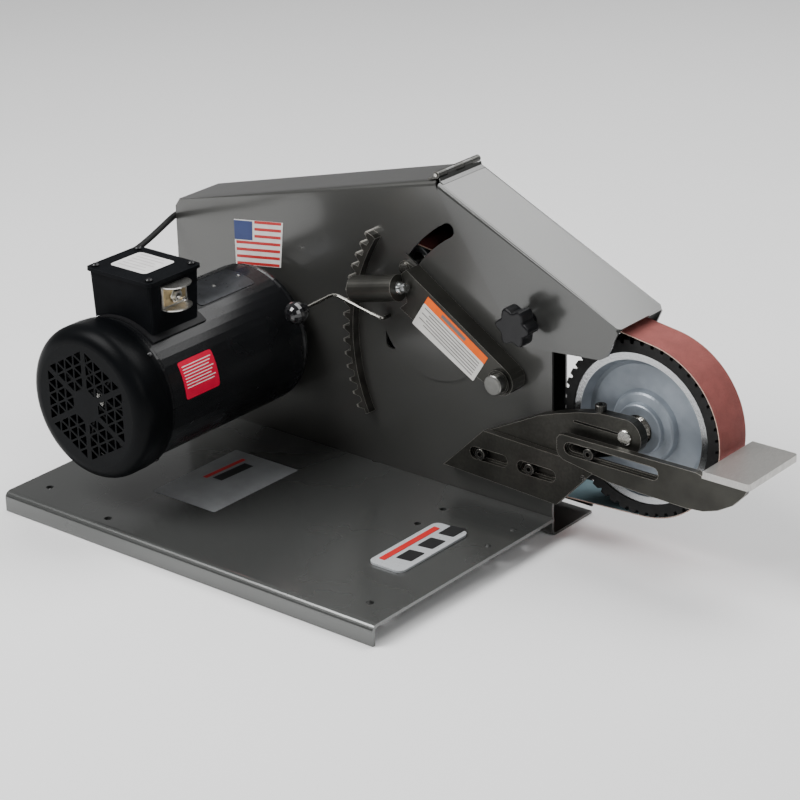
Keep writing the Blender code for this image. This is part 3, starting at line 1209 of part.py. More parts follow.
def cord_clip():
    """P-clip that holds the cord to the housing's left end."""
    centre = (-427.0 * MM, 265.0 * MM)
    bore = CORD_DIAMETER / 2.0 + 0.7 * MM
    outer = bore + 1.7 * MM
    face = HOUSING_LEFT - GAP
    ring = prism_mesh(circle(centre, outer, 24), 140.0 * MM, 150.0 * MM)
    foot = box_mesh((face - 3.6 * MM, 140.0 * MM, 240.0 * MM), (face, 150.0 * MM, 270.0 * MM))
    clip = join_solids("cord_clip", [ring, foot], dark_steel())
    boolean(clip, cutter("clip_bore", prism_mesh(circle(centre, bore, 20), 130.0 * MM, 160.0 * MM)))
    return clip


def build():
    clear_scene()
    base_plate()
    base_badge()
    housing_body()
    back_cover()
    hinge_fixed_leaf()
    hinge_pin()
    front_guard()
    guard_knob()
    guard_stud()
    tension_arm()
    pivot_pin()
    pivot_collar()
    spring_tube()
    tube_bolt()
    tension_spring()
    ratchet_rack()
    slot_shield()
    idler_axle()
    idler_wheel()
    idler_bearing()
    catch_lever()
    catch_lever_knob()
    drive_wheel()
    contact_wheel()
    contact_tread()
    contact_bearing()
    contact_axle()
    abrasive_belt()
    motor_shell()
    motor_drive_bell()
    motor_fan_bell()
    stator()
    rotor_shaft()
    shaft_bearing("drive_bearing", 96.3 * MM, 107.5 * MM)
    shaft_bearing("fan_bearing", SHELL_Y[0] - 15.5 * MM, SHELL_Y[0] - 4.6 * MM)
    cooling_fan()
    fan_cover()
    conduit_box()
    conduit_gasket()
    conduit_lid()
    lid_screws()
    toggle_switch()
    toggle_lever()
    switch_guard()
    wheel_arm()
    pinch_screw()
    rest_bracket()
    bracket_screws()
    tool_rest()
    rest_screw()
    cord_gland()
    power_cord()
    cord_coil()
    power_plug()
    cord_clip()


build()
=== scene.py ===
"""Looks of the bench-top belt grinder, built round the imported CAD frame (metres, +Z up)."""
import math

import bmesh
import bpy
from mathutils import Matrix, Vector


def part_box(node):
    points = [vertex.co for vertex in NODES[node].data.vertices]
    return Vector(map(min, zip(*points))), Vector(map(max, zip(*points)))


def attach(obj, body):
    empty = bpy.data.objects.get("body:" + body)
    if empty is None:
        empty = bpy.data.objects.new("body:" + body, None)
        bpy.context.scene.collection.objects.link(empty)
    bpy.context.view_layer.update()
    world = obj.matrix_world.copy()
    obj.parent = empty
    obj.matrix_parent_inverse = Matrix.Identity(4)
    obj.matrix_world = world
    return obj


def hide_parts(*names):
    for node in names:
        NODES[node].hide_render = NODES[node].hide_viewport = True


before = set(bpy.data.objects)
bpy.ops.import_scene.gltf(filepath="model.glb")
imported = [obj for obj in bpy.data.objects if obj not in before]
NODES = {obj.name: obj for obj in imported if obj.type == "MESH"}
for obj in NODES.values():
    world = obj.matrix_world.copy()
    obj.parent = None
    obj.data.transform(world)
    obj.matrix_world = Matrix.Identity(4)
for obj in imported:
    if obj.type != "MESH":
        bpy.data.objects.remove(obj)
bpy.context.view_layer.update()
MM = 0.001

# camera: view direction, roll, place and lens
AZIMUTH = math.radians(39.47)
ELEVATION = math.radians(22.72)
ROLL = math.radians(-1.35)
CAMERA_PLACE = Vector((1.7186, -2.0375, 1.3127))
LENS = 118.74
SENSOR_WIDTH = 36.0
LENS_SHIFT = (-0.0128, -0.0269)
CLIP_END = 50.0

# studio: floor, sky and lights (name, place, target, size, watts)
FLOOR_HALF = 6.0
SKY_BRIGHT_SIDE = Vector((-0.50, 0.80, 0.35)).normalized()
SKY_RANGE = {"From Min": -0.35, "From Max": 0.85, "To Min": 0.90, "To Max": 4.60}
LIGHTS = (("key", (-1.2, -1.6, 2.6), (0.0, 0.0, 0.15), 1.7, 135.0),
          ("fill", (2.4, -1.0, 1.7), (0.1, 0.0, 0.2), 1.4, 20.0),
          ("top", (0.3, 1.4, 2.6), (0.0, 0.1, 0.2), 2.2, 75.0))

# lattice of the fan cover's holes
VENT_SIDE = 15.7 * MM
VENT_ROWS = 4
VENT_RIB = 1.15 * MM
VENT_SPOKE = 4.6 * MM
VENT_CORNER = 0.9 * MM

# axes along Y, as (x, z)
MOTOR = (-0.2795, 0.1565)
CONTACT = (0.2505, 0.1545)
HINGE = (-0.0145, 0.396)
PIVOT = Vector((0.0925, 0.185))

# the tension arm's slope, and sizes of small parts
ARM_ANGLE = math.radians(147.0)
HINGE_REACH = 4.6 * MM
BUSH_HOLE_RADIUS = 6.4 * MM
GUARD_WALL = 1.5 * MM

# places taken from the CAD
SHELL_LOW, SHELL_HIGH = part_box("motor_shell")
SHELL_RADIUS = (SHELL_HIGH.z - SHELL_LOW.z) / 2.0
BASE_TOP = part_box("base_plate")[1].z
LID_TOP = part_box("conduit_lid")[1].z
BADGE_LOW, BADGE_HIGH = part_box("base_badge")
BELT_LOW, BELT_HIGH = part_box("abrasive_belt")

# radii and heights where a finish changes, and the width of the change
RIM_INSIDE = 78.6 * MM
BLEND = 0.8 * MM
# tooth tips between these two radii get a painted highlight
TOOTH_ROOT, TOOTH_TIP = 235.0 * MM, 238.5 * MM
TABLE_START = 359.0 * MM
TABLE_DEPTH = 8.2 * MM

# distance at which mesh corners are joined
WELD = 1e-7

# space between the belt's back and the wheels
BELT_GAP = 0.3 * MM

# thicknesses and lifts of labels
FILM = 0.2 * MM
INK = 0.05 * MM
INK_LIFT = 0.3 * MM
RAISED = 0.5 * MM


# ------------ camera
def camera():
    forward = Vector((-math.sin(AZIMUTH) * math.cos(ELEVATION), math.cos(AZIMUTH) * math.cos(ELEVATION),
                      -math.sin(ELEVATION)))
    right = Vector((math.cos(AZIMUTH), math.sin(AZIMUTH), 0.0))
    up = right.cross(forward)
    right_rolled = right * math.cos(ROLL) + up * math.sin(ROLL)
    up_rolled = up * math.cos(ROLL) - right * math.sin(ROLL)
    data = bpy.data.cameras.new("camera")
    data.lens = LENS
    data.sensor_width = SENSOR_WIDTH
    data.shift_x, data.shift_y = LENS_SHIFT
    data.clip_end = CLIP_END
    obj = bpy.data.objects.new("camera", data)
    turn = Matrix((right_rolled, up_rolled, -forward)).transposed().to_4x4()
    turn.translation = CAMERA_PLACE
    obj.matrix_world = turn
    bpy.context.scene.collection.objects.link(obj)
    bpy.context.scene.camera = obj


# ------------ material helpers
class Finish:
    """A Principled material that is built up layer by layer on object coordinates."""

    def __init__(self, name, colour, roughness, metallic=0.0, coat=0.0, coat_roughness=0.1,
                 specular=0.5):
        self.mat = bpy.data.materials.new(name)
        self.mat.use_nodes = True
        self.tree = self.mat.node_tree
        self.shader = self.tree.nodes["Principled BSDF"]
        self.coords = self.tree.nodes.new("ShaderNodeTexCoord").outputs["Object"]
        self.shader.inputs["Metallic"].default_value = metallic
        self.shader.inputs["Coat Weight"].default_value = coat
        self.shader.inputs["Coat Roughness"].default_value = coat_roughness
        self.shader.inputs["Specular IOR Level"].default_value = specular
        rgb = self.tree.nodes.new("ShaderNodeRGB")
        rgb.outputs[0].default_value = (*colour, 1.0)
        self.colour = rgb.outputs[0]
        value = self.tree.nodes.new("ShaderNodeValue")
        value.outputs[0].default_value = roughness
        self.roughness = value.outputs[0]
        self.metallic = None
        self.normal = None

    def feed(self, socket, value):
        """Link a socket to an output, or set its constant."""
        if hasattr(value, "is_output"):
            self.tree.links.new(value, socket)
        else:
            socket.default_value = value

    def node(self, kind, **inputs):
        made = self.tree.nodes.new(kind)
        for name, value in inputs.items():
            self.feed(made.inputs[name], value)
        return made

    def math(self, operation, a, b=0.0):
        made = self.tree.nodes.new("ShaderNodeMath")
        made.operation = operation
        for socket, value in zip(made.inputs, (a, b)):
            self.feed(socket, value)
        return made.outputs[0]

    def scaled(self, stretch):
        made = self.tree.nodes.new("ShaderNodeMapping")
        self.tree.links.new(self.coords, made.inputs["Vector"])
        made.inputs["Scale"].default_value = stretch
        return made.outputs["Vector"]

    def noise(self, scale, detail=3.0, stretch=(1.0, 1.0, 1.0)):
        made = self.node("ShaderNodeTexNoise", Scale=scale, Detail=detail)
        self.tree.links.new(self.scaled(stretch), made.inputs["Vector"])
        return made.outputs["Fac"]

    def cells(self, scale):
        """Distance to the middle of the nearest cell."""
        made = self.node("ShaderNodeTexVoronoi", Scale=scale)
        self.tree.links.new(self.scaled((1.0, 1.0, 1.0)), made.inputs["Vector"])
        return made.outputs["Distance"]

    def ramp(self, value, low, high):
        """0 below low, 1 above high."""
        made = self.tree.nodes.new("ShaderNodeMapRange")
        made.interpolation_type = "SMOOTHSTEP"
        self.tree.links.new(value, made.inputs["Value"])
        made.inputs["From Min"].default_value = low
        made.inputs["From Max"].default_value = high
        return made.outputs["Result"]

    def blend_colour(self, factor, colour, strength=1.0):
        """Lay a colour over the colour so far, by a factor."""
        made = self.tree.nodes.new("ShaderNodeMix")
        made.data_type = "RGBA"
        amount = self.math("MULTIPLY", factor, strength)
        self.tree.links.new(amount, made.inputs[0])
        self.tree.links.new(self.colour, made.inputs[6])
        if hasattr(colour, "is_output"):
            self.tree.links.new(colour, made.inputs[7])
        else:
            made.inputs[7].default_value = (*colour, 1.0)
        self.colour = made.outputs[2]
        return self

    def vary_colour(self, scale, amount, detail=3.0, stretch=(1.0, 1.0, 1.0)):
        """Darken and lighten the colour so far by noise."""
        factor = self.ramp(self.noise(scale, detail, stretch), 0.3, 0.7)
        bright = self.node("ShaderNodeHueSaturation", Color=self.colour)
        level = self.math("ADD", self.math("MULTIPLY", factor, 2.0 * amount), 1.0 - amount)
        self.tree.links.new(level, bright.inputs["Value"])
        self.colour = bright.outputs["Color"]
        return self

    def vary_roughness(self, scale, amount, detail=3.0, stretch=(1.0, 1.0, 1.0)):
        factor = self.math("SUBTRACT", self.noise(scale, detail, stretch), 0.5)
        self.roughness = self.math("ADD", self.roughness, self.math("MULTIPLY", factor, 2.0 * amount))
        return self

    def blend_roughness(self, factor, target):
        keep = self.math("MULTIPLY", self.roughness, self.math("SUBTRACT", 1.0, factor))
        self.roughness = self.math("ADD", keep, self.math("MULTIPLY", factor, target))
        return self

    def blend_metallic(self, factor, base, target):
        self.metallic = self.math("ADD", base, self.math("MULTIPLY", factor, target - base))
        return self

    def bump(self, height, strength, distance):
        made = self.node("ShaderNodeBump", Strength=strength, Distance=distance)
        self.tree.links.new(height, made.inputs["Height"])
        if self.normal is not None:
            self.tree.links.new(self.normal, made.inputs["Normal"])
        self.normal = made.outputs["Normal"]
        return self

    def edge_mask(self, radius):
        """1 near convex and concave edges, broken up by noise."""
        threshold = 0.02
        bevel = self.node("ShaderNodeBevel", Radius=radius)
        bevel.samples = 6
        geometry = self.tree.nodes.new("ShaderNodeNewGeometry")
        dot = self.tree.nodes.new("ShaderNodeVectorMath")
        dot.operation = "DOT_PRODUCT"
        self.tree.links.new(bevel.outputs["Normal"], dot.inputs[0])
        self.tree.links.new(geometry.outputs["Normal"], dot.inputs[1])
        turned = self.math("SUBTRACT", 1.0, dot.outputs["Value"])
        rough_edge = self.math("ADD", turned, self.math("MULTIPLY", self.noise(240.0), 0.02))
        return self.ramp(rough_edge, threshold, threshold + 0.05)

    def distance_from(self, x, z):
        """Distance from an axis along Y through (x, z)."""
        parts = self.tree.nodes.new("ShaderNodeSeparateXYZ")
        self.tree.links.new(self.coords, parts.inputs[0])
        dx = self.math("SUBTRACT", parts.outputs["X"], x)
        dz = self.math("SUBTRACT", parts.outputs["Z"], z)
        total = self.math("ADD", self.math("MULTIPLY", dx, dx), self.math("MULTIPLY", dz, dz))
        return self.math("SQRT", total)

    def done(self):
        links = self.tree.links
        links.new(self.colour, self.shader.inputs["Base Color"])
        links.new(self.math("MINIMUM", self.math("MAXIMUM", self.roughness, 0.03), 1.0),
                  self.shader.inputs["Roughness"])
        if self.metallic is not None:
            links.new(self.metallic, self.shader.inputs["Metallic"])
        if self.normal is not None:
            links.new(self.normal, self.shader.inputs["Normal"])
        return self.mat


# ------------ finishes
def powder_coat(name, colour, roughness=0.36):
    """Metallic grey powder coat: fine flake, orange peel and a little dust."""
    coat = Finish(name, colour, roughness, 0.55, 0.9, 0.14)
    coat.vary_colour(3.5, 0.04, 2.0).vary_colour(1800.0, 0.04, 1.0)
    coat.vary_roughness(7.0, 0.04)
    coat.bump(coat.noise(520.0, 2.0), 0.04, 0.0005).bump(coat.noise(2600.0, 1.0), 0.03, 0.0002)
    return coat


def guard_coat():
    """Powder coat of the front guard, with its hinge barrels left dark."""
    coat = powder_coat("guard_powder", (0.070, 0.071, 0.068), 0.32)
    barrel = coat.ramp(coat.distance_from(*HINGE), HINGE_REACH + 0.2 * MM, HINGE_REACH)
    coat.blend_colour(barrel, (0.060, 0.060, 0.057))
    return coat.done()


def black_enamel(name, colour=(0.0075, 0.008, 0.009), roughness=0.26, specular=0.26):
    enamel = Finish(name, colour, roughness, 0.0, 0.0, 0.10, specular)
    enamel.vary_colour(14.0, 0.18, 4.0)
    enamel.vary_roughness(30.0, 0.07, 4.0)
    enamel.bump(enamel.noise(260.0, 3.0), 0.10, 0.0008)
    return enamel.done()


def wrinkle_black(name):
    coat = Finish(name, (0.0055, 0.006, 0.007), 0.42, 0.0, 0.0, 0.1, 0.025)
    coat.vary_colour(40.0, 0.15).vary_roughness(60.0, 0.06)
    coat.bump(coat.noise(1500.0, 3.0), 0.35, 0.0005)
    coat.blend_colour(coat.edge_mask(0.0006), (0.030, 0.032, 0.035), 0.5)
    return coat.done()


def bright_metal(name, colour=(0.60, 0.59, 0.57), roughness=0.24, brushed=(1.0, 1.0, 1.0)):
    metal = Finish(name, colour, roughness, 1.0)
    metal.vary_colour(160.0, 0.07, 4.0, brushed).vary_roughness(300.0, 0.10, 4.0, brushed)
    metal.bump(metal.noise(900.0, 4.0, brushed), 0.03, 0.0003)
    return metal.done()


def dark_oxide(name, colour=(0.044, 0.043, 0.038), wear=0.8):
    """Blackened plate steel, rubbed bright along its edges."""
    steel = Finish(name, colour, 0.40, 0.85)
    steel.vary_colour(22.0, 0.22, 5.0).vary_colour(300.0, 0.10, 3.0)
    steel.vary_roughness(35.0, 0.12, 5.0)
    steel.bump(steel.noise(420.0, 4.0), 0.14, 0.0004)
    edge = steel.edge_mask(0.0008)
    steel.blend_colour(edge, (0.40, 0.38, 0.34), wear).blend_roughness(edge, 0.34)
    return steel.done()


def moulded_black(name, roughness):
    plastic = Finish(name, (0.007, 0.007, 0.008), roughness, 0.0, 0.0, 0.1, 0.3)
    plastic.vary_colour(60.0, 0.12).vary_roughness(90.0, 0.06)
    plastic.bump(plastic.noise(900.0, 2.0), 0.10, 0.0003)
    return plastic.done()


def rubber_black(name):
    rubber = Finish(name, (0.011, 0.011, 0.011), 0.60, 0.0, 0.0, 0.1, 0.25)
    rubber.vary_colour(120.0, 0.25).vary_roughness(60.0, 0.08)
    rubber.bump(rubber.noise(1100.0, 3.0), 0.25, 0.0003)
    return rubber.done()


def cast_wheel_paint():
    """Blue-grey casting with its rim machined bright."""
    painted, machined = 0.35, 1.0
    cast = Finish("wheel_casting", (0.235, 0.265, 0.300), 0.38, painted, 0.1, 0.25)
    cast.vary_colour(45.0, 0.10, 4.0).vary_roughness(80.0, 0.08)
    cast.bump(cast.noise(340.0, 4.0), 0.28, 0.0005)
    rim = cast.ramp(cast.distance_from(*CONTACT), RIM_INSIDE, RIM_INSIDE + BLEND)
    cast.blend_colour(rim, (0.50, 0.51, 0.52)).blend_roughness(rim, 0.26)
    cast.blend_metallic(rim, painted, machined)
    return cast.done()


def abrasive_face():
    """Red-brown grit on cloth."""
    grit = Finish("abrasive_grit", (0.250, 0.066, 0.058), 0.78, 0.0, 0.0, 0.1, 0.35)
    grit.vary_colour(5200.0, 0.38, 2.0).vary_colour(60.0, 0.10, 4.0)
    grit.blend_colour(grit.ramp(grit.noise(3300.0, 1.0), 0.62, 0.72), (0.55, 0.30, 0.24), 0.5)
    grit.bump(grit.cells(2600.0), 0.55, 0.0004)
    return grit.done()


def belt_backing():
    cloth = Finish("belt_cloth", (0.16, 0.24, 0.27), 0.85, 0.0, 0.0, 0.1, 0.25)
    cloth.vary_colour(30.0, 0.10, 4.0)
    cloth.bump(cloth.noise(1400.0, 2.0, (1.0, 0.4, 1.0)), 0.4, 0.0003)
    return cloth.done()


def belt_edge():
    edge = Finish("belt_edge", (0.50, 0.36, 0.30), 0.8, 0.0, 0.0, 0.1, 0.3)
    edge.vary_colour(700.0, 0.30, 3.0).bump(edge.noise(1800.0), 0.4, 0.0003)
    return edge.done()


def printed(name, colour, roughness):
    """Smooth printed film."""
    film = Finish(name, colour, roughness, 0.0, 0.0, 0.12, 0.3)
    film.vary_colour(70.0, 0.05, 3.0).vary_roughness(110.0, 0.05)
    film.bump(film.noise(500.0, 2.0), 0.05, 0.0003)
    return film.done()


# ------------ mesh helpers
def piece(name, bm, mats, body, replaced=(), sharp=35.0):
    """Make one drawn object of a mesh, on a body and a slot, standing for CAD nodes if any."""
    bmesh.ops.remove_doubles(bm, verts=bm.verts, dist=WELD)
    bmesh.ops.recalc_face_normals(bm, faces=bm.faces)
    mesh = bpy.data.meshes.new(name)
    bm.to_mesh(mesh)
    bm.free()
    mesh.shade_smooth()
    mesh.set_sharp_from_angle(angle=math.radians(sharp))
    for mat in mats:
        mesh.materials.append(mat)
    obj = bpy.data.objects.new(name, mesh)
    bpy.context.scene.collection.objects.link(obj)
    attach(obj, body)
    if replaced:
        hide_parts(*replaced)
    return obj


def place(axis, a, b, height):
    """A point at (a, b) in the plane across an axis, at a height along it."""
    if axis == "Y":
        return Vector((a, height, b))
    if axis == "Z":
        return Vector((a, b, height))
    return Vector((height, a, b))


def loop_edges(bm, points):
    """A closed loop of edges through the points."""
    verts = [bm.verts.new(point) for point in points]
    return [bm.edges.new((vert, verts[(i + 1) % len(verts)])) for i, vert in enumerate(verts)]


def thicken(bm, shift):
    """Extrude the flat faces to a solid."""
    top = bmesh.ops.extrude_face_region(bm, geom=list(bm.faces))
    moved = [item for item in top["geom"] if isinstance(item, bmesh.types.BMVert)]
    bmesh.ops.translate(bm, verts=moved, vec=shift)


def prism(outline, low, high, axis="Y", holes=()):
    bm = bmesh.new()
    edges = []
    for loop in (outline, *holes):
        edges += loop_edges(bm, [place(axis, a, b, low) for a, b in loop])
    bmesh.ops.triangle_fill(bm, edges=edges, use_beauty=True)
    thicken(bm, place(axis, 0.0, 0.0, high) - place(axis, 0.0, 0.0, low))
    return bm


def lathe(profile, centre, axis="Y", steps=64):
    """Turn a (radius, height) profile about an axis; an open profile closes on itself."""
    bm = bmesh.new()
    rings = []
    for radius, height in profile:
        if radius <= 0.0:
            rings.append([bm.verts.new(place(axis, centre[0], centre[1], height))])
            continue
        ring = []
        for step in range(steps):
            turn = 2.0 * math.pi * step / steps
            ring.append(bm.verts.new(place(axis, centre[0] + radius * math.cos(turn),
                                           centre[1] + radius * math.sin(turn), height)))
        rings.append(ring)
    pairs = list(zip(rings, rings[1:]))
    if len(rings[0]) > 1 and len(rings[-1]) > 1:
        pairs.append((rings[-1], rings[0]))
    for first, second in pairs:
        for step in range(steps):
            after = (step + 1) % steps
            corners = [first[step % len(first)], first[after % len(first)],
                       second[after % len(second)], second[step % len(second)]]
            unique = list(dict.fromkeys(corners))
            if len(unique) > 2:
                bm.faces.new(unique)
    return bm


def arc(centre, radius, start, end, steps):
    return [(centre[0] + radius * math.cos(start + (end - start) * i / steps),
             centre[1] + radius * math.sin(start + (end - start) * i / steps)) for i in range(steps + 1)]


def circle(centre, radius, steps):
    return arc(centre, radius, 0.0, 2.0 * math.pi * (steps - 1) / steps, steps - 1)


def rectangle(low_a, low_b, high_a, high_b):
    return [(low_a, low_b), (high_a, low_b), (high_a, high_b), (low_a, high_b)]


def rounded_outline(points, radius, steps=5):
    """A convex outline with every corner rounded."""
    rounded = []
    count = len(points)
    for i in range(count):
        before = Vector(points[i - 1])
        corner = Vector(points[i])
        after = Vector(points[(i + 1) % count])
        start = corner + (before - corner).normalized() * radius
        end = corner + (after - corner).normalized() * radius
        for step in range(steps + 1):
            t = step / steps
            rounded.append(tuple(start * (1 - t) ** 2 + corner * 2.0 * t * (1 - t) + end * t ** 2))
    return rounded


def bevel_sharp(bm, width, angle):
    """Round every edge that is sharper than the angle."""
    bmesh.ops.remove_doubles(bm, verts=bm.verts, dist=WELD)
    bmesh.ops.recalc_face_normals(bm, faces=bm.faces)
    paired = [edge for edge in bm.edges if len(edge.link_faces) == 2]
    edges = [edge for edge in paired if edge.calc_face_angle() > math.radians(angle)]
    bmesh.ops.bevel(bm, geom=edges, offset=width, segments=2, affect="EDGES", profile=0.5)
    return bm


def merged(*parts):
    """Several meshes in one."""
    whole = bmesh.new()
    for part in parts:
        mesh = bpy.data.meshes.new("part")
        part.to_mesh(mesh)
        part.free()
        whole.from_mesh(mesh)
        bpy.data.meshes.remove(mesh)
    return whole


def paint(mat, *names):
    """Give a finish to CAD nodes."""
    for name in names:
        mesh = NODES[name].data
        if not mesh.materials:
            mesh.materials.append(mat)
        for index in range(len(mesh.materials)):
            mesh.materials[index] = mat


# ------------ cord, coil and tie
CORD_DIAMETER = 7.5 * MM
CORD_ROUTE = [Vector(p) * MM for p in (
    (-362, -66, 260), (-370, -64, 260), (-379, -55, 259.5), (-383, -41, 259), (-384, -22, 258.5),
    (-386, 2, 259), (-390, 28, 261), (-397, 55, 264), (-407, 82, 265.5), (-417, 106, 266),
    (-424.5, 124, 265.6), (-427, 138, 265.1), (-427, 152, 264.9), (-427, 167, 260), (-427, 183, 249),
    (-427, 196, 230), (-427, 205, 203), (-427, 209, 168), (-427, 211, 130), (-426, 213, 90),
    (-424, 217, 56), (-419, 225, 29), (-409, 237, 11), (-394, 246, 5), (-376, 253, 4),
    (-354, 258.5, 4), (-331, 260.5, 4))]
COIL_CENTRE = (-331.0 * MM, 320.0 * MM)
COIL_STEP = 7.7 * MM
COIL_LAYERS = (3.95 * MM, 11.6 * MM)
COIL_INSIDE = 35.3 * MM
COIL_ENTRY = 59.5 * MM
COIL_TURNS = 4
STEPS_PER_TURN = 24
SPIRAL_IN, LAYER_END, LAYER_UP = 0.5, 2.5, 2.8


def smoothstep(t):
    return t * t * (3.0 - 2.0 * t)


def coil_points():
    """The put-away length: in along the bench, up, then out on top of the first layer."""
    outer = COIL_INSIDE + 2.0 * COIL_STEP
    low, high = COIL_LAYERS
    points = []
    for step in range(1, COIL_TURNS * STEPS_PER_TURN + 1):
        turns = step / STEPS_PER_TURN
        lift = smoothstep(min(max((turns - LAYER_END) / (LAYER_UP - LAYER_END), 0.0), 1.0))
        if turns < SPIRAL_IN:
            radius = COIL_ENTRY + (outer - COIL_ENTRY) * smoothstep(turns / SPIRAL_IN)
        elif turns < LAYER_END:
            radius = outer - COIL_STEP * (turns - SPIRAL_IN)
        elif turns < LAYER_UP:
            radius = COIL_INSIDE
        else:
            radius = COIL_INSIDE + COIL_STEP * (turns - LAYER_UP)
        angle = 2.0 * math.pi * turns - math.pi / 2.0
        points.append(Vector((COIL_CENTRE[0] + radius * math.cos(angle),
                              COIL_CENTRE[1] + radius * math.sin(angle), low + (high - low) * lift)))
    return points


def smooth_route(points, steps):
    """Points on a Catmull-Rom curve through the given ones."""
    fine = []
    for i in range(len(points) - 1):
        before = points[max(i - 1, 0)]
        start = points[i]
        end = points[i + 1]
        after = points[min(i + 2, len(points) - 1)]
        for step in range(steps):
            t = step / steps
            fine.append(0.5 * ((2.0 * start) + (end - before) * t
                               + (2.0 * before - 5.0 * start + 4.0 * end - after) * t * t
                               + (3.0 * start - before - 3.0 * end + after) * t * t * t))
    fine.append(points[-1])
    return fine


def power_cord():
    """The whole cord as one curve, from the gland to its plug."""
    plug_low, plug_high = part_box("power_plug")
    plug_mid = (plug_low + plug_high) / 2.0
    exit_point = CORD_ROUTE[0] + Vector((29.0 * MM, 0.0, 0.0))
    coil = coil_points()
    tail = [Vector((-0.312, plug_mid.y + 0.8 * MM, 12.4 * MM)),
            Vector((-0.288, plug_mid.y + 0.2 * MM, 13.9 * MM)),
            Vector((plug_low.x + 1.0 * MM, plug_mid.y, plug_mid.z))]
    points = smooth_route([exit_point] + CORD_ROUTE + coil + tail, 4)
    curve = bpy.data.curves.new("mains_cord", "CURVE")
    curve.dimensions = "3D"
    curve.bevel_depth = CORD_DIAMETER / 2.0
    curve.bevel_resolution = 4
    curve.use_fill_caps = True
    spline = curve.splines.new("POLY")
    spline.points.add(len(points) - 1)
    for target, point in zip(spline.points, points):
        target.co = (*point, 1.0)
    spline.use_smooth = True
    curve.materials.append(rubber_black("cord_jacket"))
    obj = bpy.data.objects.new("mains_cord", curve)
    bpy.context.scene.collection.objects.link(obj)
    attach(obj, "frame")
    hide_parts("power_cord", "cord_coil")
    tie = cord_tie()


def cord_tie():
    """Flat strap round the coil on its far side."""
    middle = COIL_INSIDE + COIL_STEP
    half_length, half_width = 12.3 * MM, 4.5 * MM
    low, high = 0.25 * MM, 15.9 * MM
    thick = 0.5 * MM
    outline = rounded_outline(rectangle(middle - half_length, low, middle + half_length, high), 3.0 * MM)
    inner = rounded_outline(rectangle(middle - half_length + thick, low + 0.1 * MM,
                                      middle + half_length - thick, high - thick), 2.8 * MM)
    bm = prism(outline, -half_width, half_width, "Y", (inner,))
    turn = Matrix.Rotation(math.radians(150.0), 4, "Z")
    turn.translation = Vector((COIL_CENTRE[0], COIL_CENTRE[1], 0.0))
    bmesh.ops.transform(bm, matrix=turn, verts=bm.verts)
    return piece("coil_tie", bm, [moulded_black("tie_strap", 0.5)], "frame")


# ------------ motor dress
def vent_wedge(middle):
    """One wedge of the triangle lattice: right side, left side, outer side and cells."""
    lean = math.radians(30.0)
    along = Vector((math.cos(middle - lean), math.sin(middle - lean)))
    other = Vector((math.cos(middle + lean), math.sin(middle + lean)))
    start = Vector((math.cos(middle), math.sin(middle))) * VENT_SPOKE

    def lattice(i, j):
        return start + along * VENT_SIDE * i + other * VENT_SIDE * j

    right = [lattice(i, 0) for i in range(VENT_ROWS + 1)]
    left = [lattice(0, i) for i in range(VENT_ROWS + 1)]
    outer = [lattice(VENT_ROWS - i, i) for i in range(VENT_ROWS + 1)]
    cells = []
    for i in range(VENT_ROWS):
        for j in range(VENT_ROWS - i):
            cells.append((lattice(i, j), lattice(i + 1, j), lattice(i, j + 1)))
            if i + j < VENT_ROWS - 1:
                cells.append((lattice(i + 1, j), lattice(i + 1, j + 1), lattice(i, j + 1)))
    return right, left, outer, cells


def cell_faces(corners):
    """Faces of one lattice cell round its rounded triangular hole."""
    inset = 1.0 - 2.0 * math.sqrt(3.0) * VENT_RIB / VENT_SIDE
    centre = sum(corners, Vector((0.0, 0.0))) / 3.0
    small = [tuple(centre + (corner - centre) * inset) for corner in corners]
    hole = rounded_outline(small, VENT_CORNER, 2)
    faces = []
    for k, corner in enumerate(corners):
        after = (k + 1) % 3
        faces.append((corner, hole[3 * k + 1], hole[3 * k]))
        faces.append((corner, hole[3 * k + 2], hole[3 * k + 1]))
        faces.append((corner, corners[after], hole[3 * after], hole[3 * k + 2]))
    return faces


def vented_face(radius, low, high):
    """Flat face of the fan cover with six wedges of triangular holes."""
    wedges = [vent_wedge(math.radians(60.0 * index)) for index in range(6)]
    faces = [[wedge[0][0] for wedge in wedges]]
    ring = []
    for index, (_, left, outer, cells) in enumerate(wedges):
        beyond = wedges[(index + 1) % 6][0]
        faces += [(left[i], left[i + 1], beyond[i + 1], beyond[i]) for i in range(VENT_ROWS)]
        faces.append(cells[0])
        for corners in cells[1:]:
            faces += cell_faces(corners)
        ring += outer
    for index, first in enumerate(ring):
        second = ring[(index + 1) % len(ring)]
        begin = math.atan2(first.y, first.x)
        turn = (math.atan2(second.y, second.x) - begin) % (2.0 * math.pi)
        faces.append([first, second] + arc((0.0, 0.0), radius, begin + turn, begin, 3))
    bm = bmesh.new()
    for points in faces:
        bm.faces.new([bm.verts.new((MOTOR[0] + a, low, MOTOR[1] + b)) for a, b in points])
    bmesh.ops.remove_doubles(bm, verts=bm.verts, dist=10.0 * WELD)
    bmesh.ops.recalc_face_normals(bm, faces=bm.faces)
    thicken(bm, (0.0, high - low, 0.0))
    return bm


